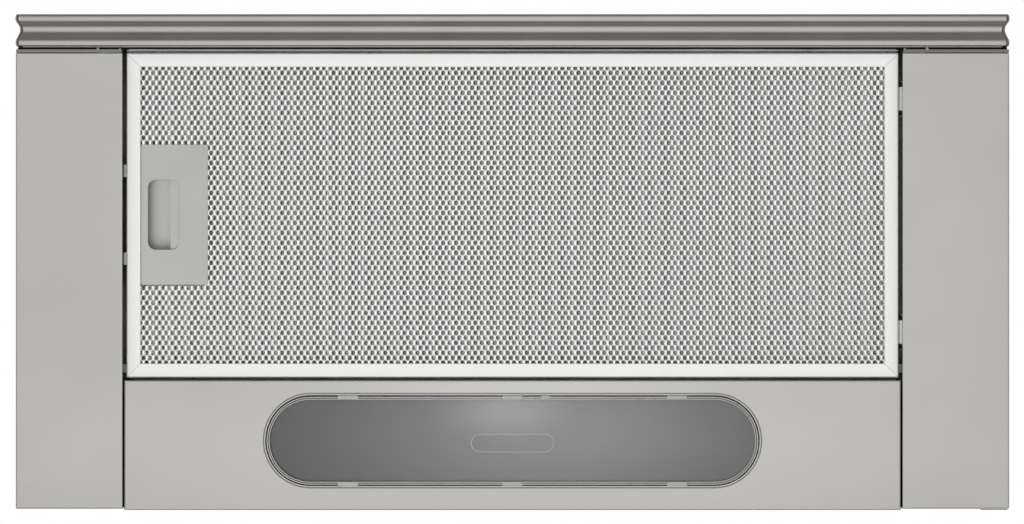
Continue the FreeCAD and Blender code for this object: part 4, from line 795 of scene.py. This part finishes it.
def dull_strands(piece):
    """The six-sided bonds stay bright; the stretched strands and cut edges are duller."""
    mesh = piece.data
    mesh.materials.append(materials["mesh_strand"])
    sides = np.zeros(len(mesh.polygons), dtype=np.int32)
    mesh.polygons.foreach_get("loop_total", sides)
    mesh.polygons.foreach_set("material_index", (sides < BOND_CORNERS).astype(np.int32))


def level_at(z):
    """The height of a flat sheet."""
    return lambda x, y: z + 0 * x


def folded_between(start, end, fold_low, fold_high):
    """The height of a sheet folded to and fro between two heights."""
    fold_width = (end - start) / PLEATS

    def height(x, y):
        phase = np.abs(((x - start) / fold_width) % 1 * 2 - 1)
        return fold_low + (fold_high - fold_low) * phase

    return height


def filter_layers():
    """The two expanded sheets of the drawer filter and the folded one between them."""
    low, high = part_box("filter_frame")
    latch_low, latch_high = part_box("latch_housing")
    inside = FRAME_LIP - SHEET_UNDER_LIP
    x0, x1 = low.x + inside, high.x - inside
    y0, y1 = low.y + inside, high.y - inside
    floor_z = low.z + FRAME_WALL
    roof_z = high.z - FRAME_WALL
    folded = folded_between(
        low.x, high.x, floor_z + MESH_SHEET + MESH_THICKNESS, roof_z - MESH_SHEET - MESH_THICKNESS,
    )

    def outside_latch(x, y, gap):
        return ~((x < latch_high.x + gap) & (y > latch_low.y - gap) & (y < latch_high.y + gap))

    layers = (
        ("lower", "filter_mesh_lower", level_at(floor_z + MESH_SHEET / 2), SHEET_UNDER_LATCH, 3),
        ("filling", "filter_filling", folded, FILLING_LATCH_GAP, 5),
        ("upper", "filter_mesh_upper", level_at(roof_z - MESH_SHEET / 2), None, 7),
    )
    for name, node, height, latch_gap, seed in layers:
        x, y = lattice(x0, x1, y0, y1, CELL_WIDTH, CELL_ROW)
        if name == "filling":
            x = x + CELL_WIDTH * FILLING_SHIFT
        kept = np.ones(x.shape, bool) if latch_gap is None else outside_latch(x, y, latch_gap)
        kept &= x < x1
        points, faces = expanded_sheet(x, y, kept, CELL_WIDTH, CELL_ROW, height, seed)
        piece = mesh_piece(
            f"filter_{name}_expanded", points, faces, "mesh_aluminium", "drawer_filter", [node],
        )
        if name == "filling":
            piece.data.materials[0] = materials["filter_wool"]
        else:
            dull_strands(piece)


def second_filter_layers():
    """The second filter's expanded sheet and the folded one above it."""
    low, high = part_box("inner_filter_pack")
    x0, x1 = low.x + SECOND_INSET, high.x - SECOND_INSET
    y0, y1 = low.y + SECOND_INSET, high.y - SECOND_INSET
    latch_rear = low.y + SECOND_LATCH_DEPTH
    pitch = CELL_WIDTH * SECOND_SCALE
    row = CELL_ROW * SECOND_SCALE
    folded = folded_between(
        low.x, high.x, low.z + MESH_SHEET + MESH_THICKNESS, high.z - MESH_THICKNESS,
    )
    layers = (
        ("second_filter_expanded", level_at(low.z + MESH_SHEET / 2), 11, ["inner_filter_pack"]),
        ("second_filter_folded", folded, 13, []),
    )
    for name, height, seed, replaced in layers:
        x, y = lattice(x0, x1, y0, y1, pitch, row)
        kept = ~((np.abs(x) < SECOND_LATCH_HALF_WIDTH) & (y < latch_rear))
        points, faces = expanded_sheet(x, y, kept, pitch, row, height, seed)
        dull_strands(mesh_piece(name, points, faces, "mesh_aluminium", "casing", replaced))


# Lens and lamps


def stadium_loop(length, width, centre, z, steps=24):
    """A long outline with half-round ends, level at one height."""
    radius = width / 2
    reach = length / 2 - radius
    loop = []
    for side in (1, -1):
        for i in range(steps + 1):
            turn = math.pi * (i / steps - 1 / 2)
            loop.append((
                centre[0] + side * (reach + radius * math.cos(turn)),
                centre[1] + side * radius * math.sin(turn),
                z,
            ))
    return loop


def lens_place():
    """The lens's lowest and highest corners, its centre, and its width without the clips."""
    low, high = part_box("lamp_lens")
    centre = ((low.x + high.x) / 2, (low.y + high.y) / 2)
    return low, high, centre, high.y - low.y - 2 * CLIP_REACH


def lens_tray():
    """The clear tray, with a painted highlight on the two flats along its rim."""
    low, high, centre, width = lens_place()
    length = high.x - low.x
    outside = [(0.0, high.z)] + [(inset, low.z + height) for inset, height in LENS_RIM]
    inside = [(LENS_FLOOR[0], low.z + LENS_FLOOR[1]), (LENS_WALL, high.z)]
    loops = [stadium_loop(length - inset * 2, width - inset * 2, centre, z) for inset, z in outside + inside]
    size = len(loops[0])
    innermost = len(outside) - 1
    points = [point for loop in loops for point in loop]
    faces = []
    for i in range(len(loops)):
        if i == innermost:
            continue
        following = (i + 1) % len(loops)
        for j in range(size):
            k = (j + 1) % size
            faces.append((i * size + j, following * size + j, following * size + k, i * size + k))
    faces.append(tuple(innermost * size + j for j in range(size))[::-1])
    faces.append(tuple((innermost + 1) * size + j for j in range(size)))
    piece = mesh_piece(
        "lamp_lens_tray", points, faces, "clear_lens", "casing", ["lamp_lens"], smooth_angle=30,
    )
    # The flats along the rim take the painted highlight look
    piece.data.materials.append(lens_rim_highlight_look)
    for face in piece.data.polygons:
        if face.center.z < low.z + FLAT_TOLERANCE:
            face.material_index = 1


def lens_mark():
    """An empty oblong outline that stands proud of the lens."""
    low, _, centre, _ = lens_place()
    length, width = LENS_MARK
    mark_centre = (centre[0], centre[1] + LENS_MARK_OFFSET)
    z = low.z + LENS_RIM_HEIGHT
    rings = [
        stadium_loop(length - inset * 2, width - inset * 2, mark_centre, z - proud)
        for inset, proud in LENS_MARK_LINE
    ]
    points, faces = skin(rings + [rings[0]], closed_ends=False)
    piece = mesh_piece("lamp_lens_mark", points, faces, "clear_lens", "casing", smooth_angle=30)
    # The raised line takes the painted highlight look
    piece.data.materials[0] = lens_mark_highlight_look


def lens_clips():
    """Three clips along each side of the lens with a pad below each, and one moulding gate."""
    _, _, centre, width = lens_place()
    blocks = [(GATE_OFFSET, GATE_WIDTH, -1, RIM_WIDTH, PAD_REACH, GATE_HEIGHTS)]
    for i in (-1, 0, 1):
        for side in (-1, 1):
            blocks.append((i * CLIP_SPACING, CLIP_WIDTH, side, LENS_WALL / 2, CLIP_REACH, CLIP_HEIGHTS))
            blocks.append((i * CLIP_SPACING, PAD_WIDTH, side, RIM_WIDTH, PAD_REACH, PAD_HEIGHTS))
    clips = []
    for offset, block_width, side, inner_reach, reach, heights in blocks:
        x0 = centre[0] + offset - block_width / 2
        x1 = centre[0] + offset + block_width / 2
        y0 = centre[1] + side * (width / 2 - inner_reach)
        y1 = centre[1] + side * (width / 2 + reach)
        corners = [(x0, y0), (x1, y0), (x1, y1), (x0, y1)]
        if side < 0:
            corners = corners[::-1]
        clips.append(skin([[(x, y, z) for x, y in corners] for z in heights]))
    points, faces = joined(clips)
    piece = mesh_piece("lamp_lens_clips", points, faces, "clear_lens", "casing")
    # The clips, pads and gate take the painted highlight look
    piece.data.materials[0] = lens_clip_highlight_look


def cap_profile():
    """A lamp's metal cap, from its contact to its open end."""
    count = THREAD_TURNS * THREAD_STEPS
    thread = []
    for i in range(count + 1):
        wave = math.cos(math.tau * i / THREAD_STEPS)
        groove = THREAD_DEPTH * (1 - wave) / 2
        thread.append((THREAD_START + THREAD_LENGTH * i / count, LAMP_CAP_RADIUS - groove))
    return LAMP_CONTACT + thread + [(LAMP_CAP_LENGTH, LAMP_CAP_RADIUS)]


def glass_profile(length, radius):
    """A lamp's glass, from inside its cap over the neck to the round end."""
    glass = [
        (LAMP_CAP_LENGTH - GLASS_INSIDE[0], LAMP_CAP_RADIUS - GLASS_INSIDE[1]),
        (LAMP_CAP_LENGTH, LAMP_CAP_RADIUS - GLASS_SEAT),
    ]
    for i in range(LAMP_NECK_STEPS + 1):
        blend = (1 - math.cos(math.pi * i / LAMP_NECK_STEPS)) / 2
        along = LAMP_CAP_LENGTH + LAMP_NECK_LENGTH * i / LAMP_NECK_STEPS
        glass.append((along, LAMP_CAP_RADIUS + (radius - LAMP_CAP_RADIUS) * blend))
    for i in range(LAMP_END_STEPS):
        turn = math.pi / 2 * i / LAMP_END_STEPS
        glass.append((length - radius + radius * math.sin(turn), radius * math.cos(turn)))
    return glass + [(length, LAMP_TIP_RADIUS)]


def lamps():
    """Two frosted tubular lamps, each with a threaded cap in its holder."""
    for side, sign in (("left", -1), ("right", 1)):
        name = f"lamp_{side}"
        low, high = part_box(name)
        base_x = high.x if sign > 0 else low.x
        origin = (base_x, (low.y + high.y) / 2, (low.z + high.z) / 2)
        axis = (-sign, 0, 0)
        points, faces = lathe(cap_profile(), origin, axis)
        mesh_piece(f"{name}_cap", points, faces, "zinc_steel", "casing", smooth_angle=40)
        points, faces = lathe(glass_profile(high.x - low.x, (high.z - low.z) / 2), origin, axis)
        mesh_piece(f"{name}_glass", points, faces, "frosted_glass", "casing", [name], smooth_angle=40)


def springs():
    """The latch's two return springs, wound from wire."""
    low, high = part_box("latch_springs")
    coil = SPRING_RADIUS - SPRING_WIRE
    count = SPRING_TURNS * SPRING_STEPS
    parts = []
    for y in (low.y + SPRING_RADIUS, high.y - SPRING_RADIUS):
        path = []
        for i in range(count + 1):
            turn = math.tau * i / SPRING_STEPS
            path.append(Vector((
                low.x + SPRING_WIRE + (high.x - low.x - 2 * SPRING_WIRE) * i / count,
                y + coil * math.cos(turn),
                (low.z + high.z) / 2 + coil * math.sin(turn),
            )))
        parts.append(tube(path, SPRING_WIRE, steps=6))
    points, faces = joined(parts)
    name = "latch_springs"
    piece = mesh_piece(
        f"{name}_wound", points, faces, "zinc_steel", BODY_OF[name], [name], smooth_angle=60,
    )
    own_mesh(piece)


painted_shade_gaps()
trim()
filter_bars()
filter_layers()
second_filter_layers()
lens_tray()
lens_mark()
lens_clips()
lamps()
springs()


# Camera, floor, world and lights


def camera():
    """A camera straight below the hood, with the front at the top of the picture."""
    data = bpy.data.cameras.new("camera")
    data.sensor_width = SENSOR_WIDTH
    data.lens = SENSOR_WIDTH * CAMERA_DISTANCE / VIEW_WIDTH
    data.clip_end = CLIP_END
    view = bpy.data.objects.new("camera", data)
    view.location = (VIEW_CENTRE[0], VIEW_CENTRE[1], -CAMERA_DISTANCE)
    view.rotation_euler = (math.pi, 0.0, 0.0)
    bpy.context.scene.collection.objects.link(view)
    bpy.context.scene.camera = view


def floor():
    """A pale round floor below the camera; in metal it reflects white in the middle and grey outside."""
    loop = [
        (FLOOR_RADIUS * math.cos(turn), FLOOR_RADIUS * math.sin(turn), -FLOOR_DROP)
        for turn in (math.tau * i / FLOOR_STEPS for i in range(FLOOR_STEPS))
    ]
    mesh = bpy.data.meshes.new("floor")
    mesh.from_pydata(loop, [], [tuple(range(FLOOR_STEPS))])
    plane = bpy.data.objects.new("floor", mesh)
    bpy.context.scene.collection.objects.link(plane)
    material = bpy.data.materials.new("floor")
    material.use_nodes = True
    tree = material.node_tree
    shader = tree.nodes["Principled BSDF"]
    shader.inputs["Roughness"].default_value = FLOOR_ROUGHNESS
    cloud = noise(tree, (FLOOR_CLOUD, FLOOR_CLOUD, FLOOR_CLOUD))
    base = shaded(tree, FLOOR_COLOUR, vary_level(tree, cloud, FLOOR_VARY))
    tree.links.new(base, shader.inputs["Base Color"])
    place = add(tree, "ShaderNodeTexCoord").outputs["Object"]
    distance = add(tree, "ShaderNodeVectorMath", {0: place}, operation="LENGTH").outputs["Value"]
    glow = spread(tree, distance, GLOW_MIDDLE, GLOW_OUTSIDE, *GLOW_FADE)
    emission = add(tree, "ShaderNodeEmission", {"Color": glow, "Strength": 1.0})
    seen = any_ray(tree, "Is Transmission Ray", "Is Glossy Ray")
    mix = add(tree, "ShaderNodeMixShader", {0: seen, 1: shader.outputs[0], 2: emission.outputs[0]})
    tree.links.new(mix.outputs[0], tree.nodes["Material Output"].inputs["Surface"])
    mesh.materials.append(material)


def world():
    """A white studio that looks white in the picture and in gloss, and lights the hood less strongly."""
    scene = bpy.context.scene
    scene.world = bpy.data.worlds.new("studio")
    scene.world.use_nodes = True
    tree = scene.world.node_tree
    background = tree.nodes["Background"]
    background.inputs["Color"].default_value = (1.0, 1.0, 1.0, 1.0)
    seen = any_ray(tree, "Is Transmission Ray", "Is Glossy Ray", "Is Camera Ray")
    strength = add(tree, "ShaderNodeMapRange", {"Value": seen, "To Min": SKY_LIGHT, "To Max": 1.0})
    tree.links.new(strength.outputs["Result"], background.inputs["Strength"])


def soft_lamp(name, place, target, size, power):
    """A square light that gives no highlight of its own."""
    data = bpy.data.lights.new(name, "AREA")
    data.shape = "SQUARE"
    data.size = size
    data.energy = power
    lamp = bpy.data.objects.new(name, data)
    lamp.location = place
    lamp.rotation_euler = (Vector(target) - Vector(place)).to_track_quat("-Z", "Y").to_euler()
    lamp.visible_glossy = False
    bpy.context.scene.collection.objects.link(lamp)


camera()
floor()
world()
soft_lamp("lamp_below", (-0.8, 0.9, -1.3), target=(0, 0, 0), size=1.6, power=30.0)
soft_lamp("lamp_above", (0.9, -1.2, 1.6), target=(0, 0, 0.1), size=1.4, power=30.0)
soft_lamp("lamp_behind", (-1.1, 1.3, 0.9), target=(0, 0, 0.1), size=1.2, power=14.0)
bpy.context.scene.view_settings.view_transform = "Standard"
